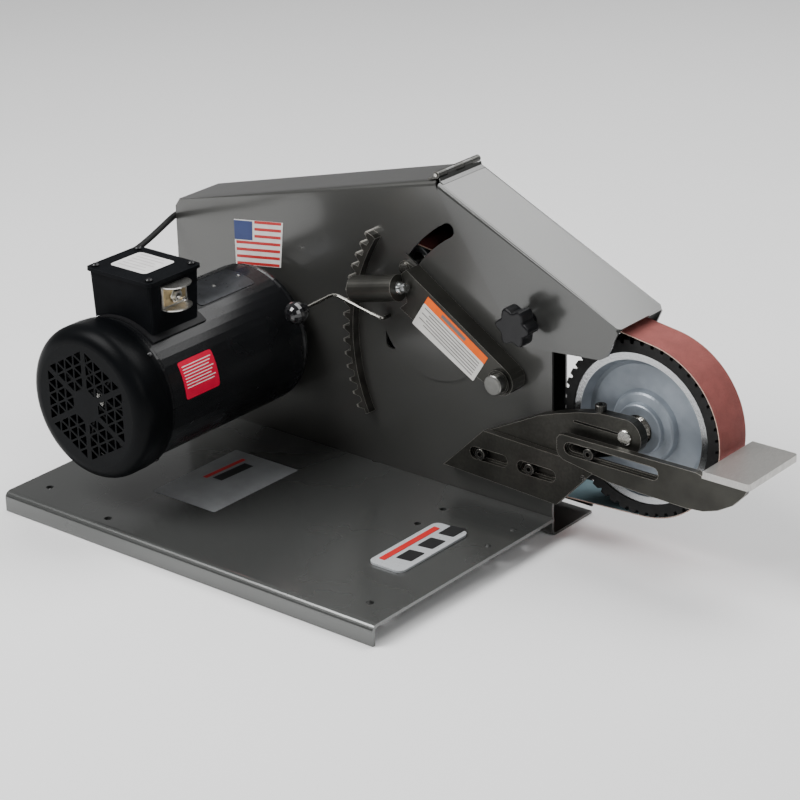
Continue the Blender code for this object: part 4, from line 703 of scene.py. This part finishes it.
def fan_cover_skin():
    """Pressed fan cover with a face of triangular holes."""
    low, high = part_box("fan_cover")
    face, rim = low.y, high.y
    radius = (high.z - low.z) / 2.0
    shoulder = 18.0 * MM
    wall = 1.8 * MM
    flat = radius - shoulder
    plate = vented_face(flat, face, face + wall)
    outer = [(flat + shoulder * math.sin(t), face + shoulder - shoulder * math.cos(t))
             for t in (math.radians(d) for d in range(0, 91, 9))]
    inner = [(flat + (shoulder - wall) * math.sin(t), face + shoulder - (shoulder - wall) * math.cos(t))
             for t in (math.radians(d) for d in range(90, -1, -15))]
    lip = [(radius, rim - 9.0 * MM), (radius - 0.8 * MM, rim - 8.0 * MM), (radius - 0.8 * MM, rim),
           (radius - 2.6 * MM, rim), (radius - 2.6 * MM, face + shoulder)]
    drum = lathe(outer + lip + inner[1:], MOTOR, steps=96)
    mat = black_enamel("fan_cover_enamel", (0.003, 0.0034, 0.004), 0.38, 0.06)
    piece("fan_cover_skin", merged(plate, drum), [mat], "frame", ("fan_cover",), 40.0)


def stand(bm, direction, spot):
    """Turn a part's Z to a direction and put it in its place."""
    matrix = direction.to_track_quat("Z", "Y").to_matrix().to_4x4()
    matrix.translation = spot
    bmesh.ops.transform(bm, matrix=matrix, verts=bm.verts)


def fan_cover_screws():
    """Small screws round the rim of the fan cover."""
    low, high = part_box("fan_cover")
    radius = (high.z - low.z) / 2.0 - 0.6 * MM
    parts = []
    for index in range(4):
        turn = math.radians(45.0 + 90.0 * index)
        head = lathe([(0.0, 0.0), (2.9 * MM, 0.0), (3.1 * MM, 0.8 * MM), (2.2 * MM, 2.0 * MM),
                      (0.0, 2.3 * MM)], (0.0, 0.0), "Z", 20)
        direction = Vector((math.cos(turn), 0.0, math.sin(turn)))
        middle = Vector((MOTOR[0], high.y - 4.5 * MM, MOTOR[1]))
        stand(head, direction, middle + direction * (radius - 0.4 * MM))
        parts.append(head)
    black = moulded_black("cover_screw_black", 0.25)
    piece("fan_cover_screws", merged(*parts), [black], "frame")


def on_shell(angle, y, lift):
    radius = SHELL_RADIUS + lift
    return Vector((MOTOR[0] + radius * math.cos(angle), y, MOTOR[1] + radius * math.sin(angle)))


def shell_patch(name, angles, y_span, corner, thick, mat, base_lift=0.12 * MM):
    """A thin sheet bent to the motor shell, with round corners."""
    start, end = (angle * SHELL_RADIUS for angle in angles)
    flat = rounded_outline(rectangle(start, y_span[0], end, y_span[1]), corner)
    bm = bmesh.new()
    edges = loop_edges(bm, [(a, b, 0.0) for a, b in flat])
    bmesh.ops.triangle_fill(bm, edges=edges, use_beauty=True)
    slices = 16
    for index in range(1, slices):
        cut = start + (end - start) * index / slices
        bmesh.ops.bisect_plane(bm, geom=list(bm.verts) + list(bm.edges) + list(bm.faces),
                               plane_co=(cut, 0.0, 0.0), plane_no=(1.0, 0.0, 0.0))
    thicken(bm, (0.0, 0.0, thick))
    for vert in bm.verts:
        vert.co = on_shell(vert.co.x / SHELL_RADIUS, vert.co.y, base_lift + vert.co.z)
    return piece(name, bm, [mat], "frame", sharp=40.0)


def motor_labels():
    red = printed("red_label", (0.62, 0.004, 0.040), 0.40)
    white = printed("label_print", (0.75, 0.72, 0.72), 0.4)
    plate = Finish("motor_plate", (0.030, 0.032, 0.036), 0.3, 0.6)
    plate.vary_colour(90.0, 0.2).vary_roughness(140.0, 0.08)
    label = (math.radians(2.0), math.radians(31.5))
    y_span = (-107.0 * MM, -52.5 * MM)
    shell_patch("motor_red_label", label, y_span, 4.0 * MM, 0.25 * MM, red)
    margin, pitch, height = math.radians(4.0), math.radians(2.35), math.radians(0.75)
    for index in range(8):
        top = label[1] - margin - pitch * index
        inset = (4.0 + 3.0 * (index % 3)) * MM
        bar_span = (y_span[0] + 4.0 * MM, y_span[1] - inset)
        shell_patch(f"red_label_bar_{index}", (top - height, top), bar_span, 0.3 * MM, 0.08 * MM, white,
                    0.36 * MM)
    shell_patch("motor_nameplate", (math.radians(66.0), math.radians(98.0)), (-24.0 * MM, 68.0 * MM),
                5.0 * MM, RAISED, plate.done())
    rivet = bright_metal("rivet_bright", (0.7, 0.7, 0.68), 0.2)
    for index, y in enumerate((-19.0 * MM, 20.0 * MM, 62.0 * MM)):
        head = lathe([(0.0, 0.0), (2.2 * MM, 0.0), (1.9 * MM, 0.7 * MM), (0.0, 1.1 * MM)],
                     (0.0, 0.0), "Z", 18)
        spot = on_shell(math.radians(81.0), y, 0.6 * MM)
        stand(head, spot - Vector((MOTOR[0], y, MOTOR[1])), spot)
        piece(f"nameplate_rivet_{index}", head, [rivet], "frame")


# ------------ labels, badge and small parts
def flat_label(name, outline, level, axis, mat, body, thick=FILM, outward=1.0):
    """A thin sheet on a flat face at the given level."""
    start = level + 0.08 * MM * outward
    end = start + thick * outward
    return piece(name, prism(outline, min(start, end), max(start, end), axis), [mat], body)


def print_on(name, outline, level, axis, mat, body, thick=INK, outward=1.0):
    """A printed shape on top of a label."""
    flat_label(name, outline, level + INK_LIFT * outward, axis, mat, body, thick, outward)


def base_dress():
    """Badge with its raised bars, and the foil plate with its printed ones."""
    silver = Finish("badge_silver", (0.62, 0.64, 0.66), 0.30, 0.35)
    silver.vary_colour(160.0, 0.05, 4.0, (1.0, 12.0, 1.0)).vary_roughness(300.0, 0.08)
    silver.bump(silver.noise(900.0, 4.0, (1.0, 12.0, 1.0)), 0.06, 0.0003)
    paint(silver.done(), "base_badge")
    red = printed("badge_red", (0.55, 0.02, 0.02), 0.3)
    dark = printed("badge_dark", (0.015, 0.015, 0.016), 0.3)
    top = BADGE_HIGH.z
    mid_x = (BADGE_LOW.x + BADGE_HIGH.x) / 2.0
    margin = 12.0 * MM
    bar = rounded_outline(rectangle(mid_x - 17.0 * MM, BADGE_LOW.y + margin,
                                    mid_x - 9.0 * MM, BADGE_HIGH.y - margin), 1.0 * MM, 3)
    flat_label("badge_red_bar", bar, top, "Z", red, "frame", RAISED)
    near_x, far_x = mid_x - 3.0 * MM, mid_x + 16.0 * MM
    length, slope = 24.0 * MM, 3.0 * MM
    for index in range(3):
        start = BADGE_LOW.y + (24.0 + 37.0 * index) * MM
        block = rounded_outline([(near_x, start), (far_x, start + slope),
                                 (far_x, start + slope + length), (near_x, start + length)], 1.5 * MM, 3)
        flat_label(f"badge_block_{index}", block, top, "Z", dark, "frame", RAISED)
    foil = Finish("foil_plate", (0.30, 0.31, 0.32), 0.40, 0.30)
    foil.vary_colour(40.0, 0.08).vary_roughness(180.0, 0.06)
    outline = rounded_outline([(-0.2675, -0.0975), (-0.1710, -0.0975), (-0.1690, 0.0450),
                               (-0.2675, 0.0450)], 3.0 * MM, 3)
    flat_label("base_foil", outline, BASE_TOP, "Z", foil.done(), "frame")
    bar = [(-0.247, -0.035), (-0.241, -0.035), (-0.238, 0.030), (-0.244, 0.030)]
    print_on("foil_red_bar", bar, BASE_TOP, "Z", red, "frame")
    block = [(-0.236, -0.030), (-0.222, -0.030), (-0.219, 0.022), (-0.233, 0.022)]
    print_on("foil_dark_bar", block, BASE_TOP, "Z", dark, "frame")


def plate_sticker():
    """Small striped sticker on the side plate."""
    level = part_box("housing_body")[0].y
    corners = [Vector(corner) for corner in ((-0.3216, 0.2263), (-0.2497, 0.2369), (-0.2435, 0.2942),
                                             (-0.3216, 0.2833))]

    def spot(across, up):
        return tuple(corners[0].lerp(corners[3], up).lerp(corners[1].lerp(corners[2], up), across))

    def patch(start, end, low, high):
        return [spot(start, low), spot(end, low), spot(end, high), spot(start, high)]

    white = printed("sticker_white", (0.72, 0.70, 0.68), 0.4)
    flat_label("side_sticker", [tuple(corner) for corner in corners], level, "Y", white, "frame",
               FILM, -1.0)
    red = printed("sticker_red", (0.50, 0.03, 0.03), 0.4)
    stripes = 13
    field_start = 0.42
    for index in range(0, stripes, 2):
        start = field_start if index > stripes // 2 else 0.03
        outline = patch(start, 0.97, (index + 0.15) / stripes, (index + 0.95) / stripes)
        print_on(f"sticker_stripe_{index}", outline, level, "Y", red, "frame", outward=-1.0)
    blue = printed("sticker_blue", (0.03, 0.05, 0.16), 0.4)
    print_on("sticker_blue_field", patch(0.0, 0.38, 0.56, 0.98), level, "Y", blue, "frame", outward=-1.0)


def arm_point(along, across):
    """A point of the tension arm's face, from its pivot."""
    return (PIVOT.x + along * math.cos(ARM_ANGLE) + across * math.sin(ARM_ANGLE),
            PIVOT.y + along * math.sin(ARM_ANGLE) - across * math.cos(ARM_ANGLE))


def arm_strip(near, far, low, high):
    """A rectangle in line with the arm."""
    return [arm_point(along, across) for along, across in rectangle(near, low, far, high)][::-1]


def arm_label():
    """Orange-topped white label on the tension arm, with plain rules for its print."""
    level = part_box("tension_arm")[0].y
    white = printed("arm_label_white", (0.66, 0.65, 0.62), 0.42)
    orange = printed("arm_label_orange", (0.90, 0.13, 0.004), 0.5)
    grey = printed("arm_label_rule", (0.16, 0.15, 0.15), 0.5)
    near, far = 27.0 * MM, 126.0 * MM
    low, high = -33.0 * MM, 11.0 * MM
    split = 0.5 * MM
    panel = [arm_point(near, low + 5.0 * MM), arm_point(far, low), arm_point(far, split),
             arm_point(near, split)]
    outline = rounded_outline(panel[::-1], 1.5 * MM, 2)
    flat_label("arm_label_panel", outline, level, "Y", white, "arm", FILM, -1.0)
    header = arm_strip(near, far, split + 0.2 * MM, high)
    flat_label("arm_label_header", header, level, "Y", orange, "arm", FILM, -1.0)
    for index in range(6):
        across = -3.0 * MM - 3.9 * MM * index
        end = far - (4.0 + 9.0 * (index % 2)) * MM
        rule = arm_strip(near + 5.0 * MM, end, across, across - 1.3 * MM)
        print_on(f"arm_label_rule_{index}", rule, level, "Y", grey, "arm", outward=-1.0)
    bar = arm_strip(near + 34.0 * MM, far - 26.0 * MM, 3.6 * MM, 8.2 * MM)
    print_on("arm_label_header_bar", bar, level, "Y", grey, "arm", outward=-1.0)


def lid_label():
    """White label on the terminal box's lid, with faint rules."""
    white = printed("lid_label_white", (0.70, 0.69, 0.68), 0.4)
    outline = rounded_outline(rectangle(-0.3105, -0.1005, -0.2545, -0.0505), 6.0 * MM)
    flat_label("lid_label", outline, LID_TOP, "Z", white, "frame")
    faint = printed("lid_label_rule", (0.50, 0.47, 0.47), 0.45)
    pitch, height = 7.2 * MM, 1.6 * MM
    for index in range(6):
        y = -0.093 + pitch * index
        end = -0.262 - 0.006 * (index % 2)
        print_on(f"lid_label_rule_{index}", rectangle(-0.304, y, end, y + height), LID_TOP, "Z", faint,
                 "frame", 0.04 * MM)


def switch_dress():
    """Legend plate and hexagon nut round the toggle's bush."""
    low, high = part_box("switch_guard")
    middle = ((low.y + high.y) / 2.0, (low.z + high.z) / 2.0)
    face = low.x + GUARD_WALL
    half_y, half_z = 17.0 * MM, 10.5 * MM
    gold = bright_metal("legend_gold", (0.66, 0.52, 0.30), 0.3)
    outline = rounded_outline(rectangle(middle[0] - half_y, middle[1] - half_z,
                                        middle[0] + half_y, middle[1] + half_z), 2.0 * MM, 4)
    bm = prism(outline, face + 0.1 * MM, face + 0.7 * MM, "X", (circle(middle, BUSH_HOLE_RADIUS, 24),))
    piece("switch_legend", bm, [gold], "frame")
    hexagon = circle(middle, 9.4 * MM, 6)
    bore = circle(middle, 6.15 * MM, 24)
    bm = bevel_sharp(prism(hexagon, face + 0.8 * MM, face + 3.2 * MM, "X", (bore,)), 0.3 * MM, 40.0)
    piece("switch_nut", bm, [bright_metal("nut_plated", (0.7, 0.68, 0.6), 0.22)], "frame")


# ------------ belt and tread
def belt_loop(extra, steps):
    """Points of the belt path, anticlockwise from the contact wheel, extra outside the wheels."""
    idler_low, idler_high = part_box("idler_wheel")
    idler = ((idler_low.x + idler_high.x) / 2.0, (idler_low.z + idler_high.z) / 2.0,
             (idler_high.x - idler_low.x) / 2.0)
    drive_low, drive_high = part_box("drive_wheel")
    tread_low, tread_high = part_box("contact_tread")
    wheels = [(*CONTACT, (tread_high.x - tread_low.x) / 2.0), idler,
              (*MOTOR, (drive_high.x - drive_low.x) / 2.0)]
    wheels = [(x, z, radius + BELT_GAP) for x, z, radius in wheels]
    turns = []
    for i in range(3):
        x1, z1, r1 = wheels[i]
        x2, z2, r2 = wheels[(i + 1) % 3]
        heading = math.atan2(z2 - z1, x2 - x1)
        lean = math.asin((r1 - r2) / math.hypot(x2 - x1, z2 - z1))
        turns.append(heading + lean - math.pi / 2.0)
    outline = []
    for i in range(3):
        x, z, radius = wheels[i]
        start = turns[i - 1]
        end = start + (turns[i] - start) % (2.0 * math.pi)
        outline += arc((x, z), radius + extra, start, end, steps[i])
    return outline


def belt_skin():
    """Fine belt loop: grit outside, cloth inside, pale cut edges."""
    steps = (72, 24, 72)
    thick = 1.15 * MM
    outer = belt_loop(thick, steps)
    inner = belt_loop(0.0, steps)
    low_y, high_y = BELT_LOW.y, BELT_HIGH.y
    bm = bmesh.new()
    rings = []
    for loop, y in ((outer, low_y), (outer, high_y), (inner, high_y), (inner, low_y)):
        rings.append([bm.verts.new((x, y, z)) for x, z in loop])
    for side in range(4):
        first, second = rings[side], rings[(side + 1) % 4]
        for i in range(len(first)):
            j = (i + 1) % len(first)
            face = bm.faces.new((first[i], first[j], second[j], second[i]))
            face.material_index = (0, 1, 2, 1)[side]
    piece("belt_skin", bm, [abrasive_face(), belt_edge(), belt_backing()], "frame",
          ("abrasive_belt",))


def tread_skin():
    """Rubber tread with slanting grooves cut across it."""
    low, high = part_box("contact_tread")
    outer = (high.x - low.x) / 2.0
    inner = 87.6 * MM
    depth = 4.2 * MM
    teeth = 48
    rows = 10
    slant = math.radians(14.0)
    # parts of a tooth's pitch, with 1 at the groove's floor
    pattern = ((0.0, 0.0), (0.56, 0.0), (0.64, 1.0), (0.92, 1.0))
    bm = bmesh.new()
    columns = []
    for tooth in range(teeth):
        for offset, cut in pattern:
            column = []
            turn = 2.0 * math.pi * (tooth + offset) / teeth
            for row in range(rows + 1):
                y = low.y + (high.y - low.y) * row / rows
                angle = turn + slant * (row / rows - 0.5)
                radius = outer - depth * cut
                column.append(bm.verts.new((CONTACT[0] + radius * math.cos(angle), y,
                                            CONTACT[1] + radius * math.sin(angle))))
            for y in (high.y, low.y):
                angle = turn + slant * (0.5 if y == high.y else -0.5)
                column.append(bm.verts.new((CONTACT[0] + inner * math.cos(angle), y,
                                            CONTACT[1] + inner * math.sin(angle))))
            columns.append(column)
    for i, column in enumerate(columns):
        after = columns[(i + 1) % len(columns)]
        for j in range(len(column)):
            k = (j + 1) % len(column)
            bm.faces.new((column[j], column[k], after[k], after[j]))
    piece("tread_skin", bm, [rubber_black("tread_rubber")], "contact_wheel_body",
          ("contact_tread",), 25.0)


# ------------ hardware on the housing
def button_head(centre, radius, height, level, outward):
    """Socket button head on a face across Y."""
    profile = [(0.0, level), (radius, level), (radius * 0.92, level + outward * height * 0.55),
               (radius * 0.55, level + outward * height), (radius * 0.38, level + outward * height),
               (radius * 0.36, level + outward * height * 0.45), (0.0, level + outward * height * 0.45)]
    return lathe(profile, centre, steps=28)


def cover_screws():
    """Button-head screws round the far cover."""
    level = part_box("back_cover")[1].y + 0.05 * MM
    places = ((-0.402, 0.022), (-0.402, 0.262), (-0.22, 0.022), (-0.215, 0.322), (-0.04, 0.022),
              (-0.045, 0.362), (0.128, 0.026), (0.094, 0.19), (0.094, 0.31))
    parts = [button_head(spot, 5.0 * MM, 2.6 * MM, level, 1.0) for spot in places]
    piece("cover_screws", merged(*parts), [bright_metal("zinc_screw", (0.45, 0.45, 0.44), 0.3)], "frame")


def bracket_stud():
    """Small socket screw low on the rest bracket."""
    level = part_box("rest_bracket")[0].y - 0.05 * MM
    bm = button_head((0.2018, 0.0967), 3.4 * MM, 1.8 * MM, level, -1.0)
    oxide = dark_oxide("setscrew_oxide", (0.04, 0.04, 0.04))
    piece("bracket_setscrew", bm, [oxide], "bracket")


def pin_face():
    """Dull chamfered face on the tension arm's pivot pin."""
    low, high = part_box("pivot_pin")
    centre = ((low.x + high.x) / 2.0, (low.z + high.z) / 2.0)
    bm = lathe([(0.0, low.y - 0.05 * MM), (9.9 * MM, low.y - 0.05 * MM), (9.7 * MM, low.y - 0.45 * MM),
                (0.0, low.y - 0.6 * MM)], centre, steps=40)
    dull = bright_metal("pin_face", (0.22, 0.22, 0.21), 0.38)
    piece("pivot_pin_face", bm, [dull], "frame")


# ------------ finishes on the CAD nodes
def finish_nodes():
    grey = powder_coat("housing_powder", (0.068, 0.068, 0.064)).done()
    paint(grey, "housing_body", "back_cover", "slot_shield")
    paint(powder_coat("base_powder", (0.092, 0.095, 0.092), 0.27).done(), "base_plate")
    paint(guard_coat(), "front_guard")
    arm = Finish("arm_satin", (0.046, 0.045, 0.040), 0.36, 0.7, 0.1, 0.2)
    arm.vary_colour(30.0, 0.12, 4.0).vary_roughness(60.0, 0.08)
    arm.bump(arm.noise(500.0, 3.0), 0.12, 0.0004)
    edge = arm.edge_mask(0.0007)
    arm.blend_colour(edge, (0.45, 0.44, 0.40), 0.75)
    paint(arm.done(), "tension_arm", "spring_tube")
    paint(black_enamel("motor_enamel"), "motor_shell", "motor_drive_bell", "motor_fan_bell")
    paint(wrinkle_black("box_wrinkle"), "conduit_box")
    paint(wrinkle_black("lid_wrinkle"), "conduit_lid")
    paint(moulded_black("gasket_rubber", 0.6), "conduit_gasket")
    paint(moulded_black("lid_screw_black", 0.25), *[f"lid_screw_{index}" for index in range(1, 5)])
    zinc = bright_metal("switch_zinc", (0.66, 0.65, 0.62), 0.30, (1.0, 8.0, 1.0))
    paint(zinc, "switch_guard", "toggle_switch")
    paint(bright_metal("toggle_chrome", (0.75, 0.74, 0.72), 0.12), "toggle_lever")
    paint(bright_metal("turned_steel", (0.62, 0.61, 0.58), 0.22), "contact_axle", "contact_bearing",
          "idler_axle", "idler_bearing", "rotor_shaft", "drive_bearing", "fan_bearing", "guard_stud",
          "hinge_pin", "tension_spring")
    paint(bright_metal("bolt_zinc", (0.70, 0.72, 0.72), 0.25), "tube_bolt")
    paint(bright_metal("pin_steel", (0.20, 0.20, 0.19), 0.34), "pivot_pin")
    paint(bright_metal("rod_steel", (0.20, 0.195, 0.18), 0.28), "catch_lever")
    paint(bright_metal("machined_alloy", (0.42, 0.43, 0.44), 0.34, (1.0, 10.0, 1.0)), "idler_wheel",
          "drive_wheel")
    paint(dark_oxide("plate_oxide"), "wheel_arm", "rest_bracket")
    paint(dark_oxide("screw_oxide", (0.030, 0.030, 0.028), 0.5), "bracket_screw_1", "bracket_screw_2",
          "rest_screw", "pinch_screw", "pivot_collar")
    paint(rack_finish(), "ratchet_rack")
    paint(dark_oxide("hinge_oxide", (0.10, 0.10, 0.095), 0.6), "hinge_fixed_leaf")
    paint(rest_finish(), "tool_rest")
    paint(cast_wheel_paint(), "contact_wheel")
    paint(moulded_black("knob_plastic", 0.30), "guard_knob")
    paint(ball_finish(), "catch_lever_knob")
    paint(moulded_black("fan_plastic", 0.45), "cooling_fan")
    paint(moulded_black("gland_nylon", 0.45), "cord_gland", "cord_clip")
    paint(rubber_black("plug_rubber"), "power_plug")
    winding = Finish("winding_copper", (0.40, 0.16, 0.07), 0.4, 0.8)
    winding.vary_colour(200.0, 0.3, 4.0, (1.0, 6.0, 1.0)).bump(winding.noise(700.0), 0.4, 0.0005)
    paint(winding.done(), "stator")


def rack_finish():
    """Dark flame-cut rack, rubbed bright along its edges, with a painted highlight on its tooth tips."""
    rack = Finish("rack_steel", (0.060, 0.058, 0.052), 0.42, 0.85)
    rack.vary_colour(60.0, 0.3, 4.0).vary_roughness(70.0, 0.12)
    rack.bump(rack.noise(500.0, 4.0), 0.2, 0.0005)
    reach = rack.distance_from(PIVOT.x, PIVOT.y)
    # painted highlight on the tooth tips, standing in for light caught on their top faces
    painted_tip_highlight = rack.ramp(reach, TOOTH_ROOT, TOOTH_TIP)
    # edge wear, joined with the painted highlight on the tooth tips
    wear_and_tip_highlight = rack.math("MAXIMUM", painted_tip_highlight, rack.edge_mask(0.0009))
    rack.blend_colour(wear_and_tip_highlight, (0.62, 0.60, 0.55), 0.85).blend_roughness(wear_and_tip_highlight, 0.28)
    return rack.done()


def rest_finish():
    """Dark rest plate with a ground table on top."""
    steel = Finish("rest_steel", (0.043, 0.042, 0.037), 0.38, 0.85)
    steel.vary_colour(24.0, 0.22, 5.0).vary_roughness(40.0, 0.10, 5.0)
    edge = steel.edge_mask(0.0009)
    steel.blend_colour(edge, (0.42, 0.40, 0.36), 0.8)
    parts = steel.tree.nodes.new("ShaderNodeSeparateXYZ")
    steel.tree.links.new(steel.coords, parts.inputs[0])
    table_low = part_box("tool_rest")[1].z - TABLE_DEPTH
    far = steel.ramp(parts.outputs["X"], TABLE_START, TABLE_START + 1.0 * MM)
    high = steel.ramp(parts.outputs["Z"], table_low - 0.1 * MM, table_low + 0.1 * MM)
    table = steel.math("MULTIPLY", far, high)
    ground = steel.node("ShaderNodeHueSaturation", Color=(0.46, 0.45, 0.43, 1.0))
    streak = steel.noise(210.0, 5.0, (14.0, 1.0, 1.0))
    level = steel.math("ADD", steel.math("MULTIPLY", streak, 0.7), 0.65)
    steel.tree.links.new(level, ground.inputs["Value"])
    steel.blend_colour(table, ground.outputs["Color"]).blend_roughness(table, 0.30)
    steel.bump(steel.noise(600.0, 4.0, (6.0, 1.0, 1.0)), 0.16, 0.0004)
    return steel.done()


def ball_finish():
    ball = Finish("ball_phenolic", (0.008, 0.008, 0.009), 0.10, 0.0, 0.6, 0.05, 0.5)
    ball.vary_colour(80.0, 0.1).vary_roughness(120.0, 0.04)
    return ball.done()


# ------------ stage
def stage():
    """Pale floor, a sky that is brighter behind the machine, and three soft lights."""
    floor = bpy.data.meshes.new("floor")
    corners = [(a, b, 0.0) for a, b in rectangle(-FLOOR_HALF, -FLOOR_HALF, FLOOR_HALF, FLOOR_HALF)]
    floor.from_pydata(corners, [], [(0, 1, 2, 3)])
    surface = Finish("floor_paper", (0.93, 0.93, 0.93), 0.7, 0.0, 0.0, 0.1, 0.2)
    surface.vary_colour(1.5, 0.01)
    floor.materials.append(surface.done())
    obj = bpy.data.objects.new("floor", floor)
    obj.location.z = -0.5 * MM
    bpy.context.scene.collection.objects.link(obj)
    world = bpy.data.worlds.new("studio")
    world.use_nodes = True
    tree = world.node_tree
    coords = tree.nodes.new("ShaderNodeTexCoord")
    glow = tree.nodes.new("ShaderNodeVectorMath")
    glow.operation = "DOT_PRODUCT"
    glow.inputs[1].default_value = SKY_BRIGHT_SIDE
    sky = tree.nodes.new("ShaderNodeMapRange")
    sky.interpolation_type = "SMOOTHSTEP"
    for name, value in SKY_RANGE.items():
        sky.inputs[name].default_value = value
    tree.links.new(coords.outputs["Generated"], glow.inputs[0])
    tree.links.new(glow.outputs["Value"], sky.inputs["Value"])
    tree.links.new(sky.outputs["Result"], tree.nodes["Background"].inputs["Strength"])
    bpy.context.scene.world = world
    for name, location, target, size, power in LIGHTS:
        area_light(name, location, target, size, power)


def area_light(name, location, target, size, power):
    data = bpy.data.lights.new(name, "AREA")
    data.shape = "SQUARE"
    data.size = size
    data.energy = power
    obj = bpy.data.objects.new(name, data)
    obj.location = location
    direction = Vector(target) - Vector(location)
    obj.rotation_euler = direction.to_track_quat("-Z", "Y").to_euler()
    bpy.context.scene.collection.objects.link(obj)


camera()
power_cord()
finish_nodes()
fan_cover_skin()
fan_cover_screws()
motor_labels()
base_dress()
plate_sticker()
arm_label()
lid_label()
switch_dress()
belt_skin()
tread_skin()
cover_screws()
bracket_stud()
pin_face()
stage()
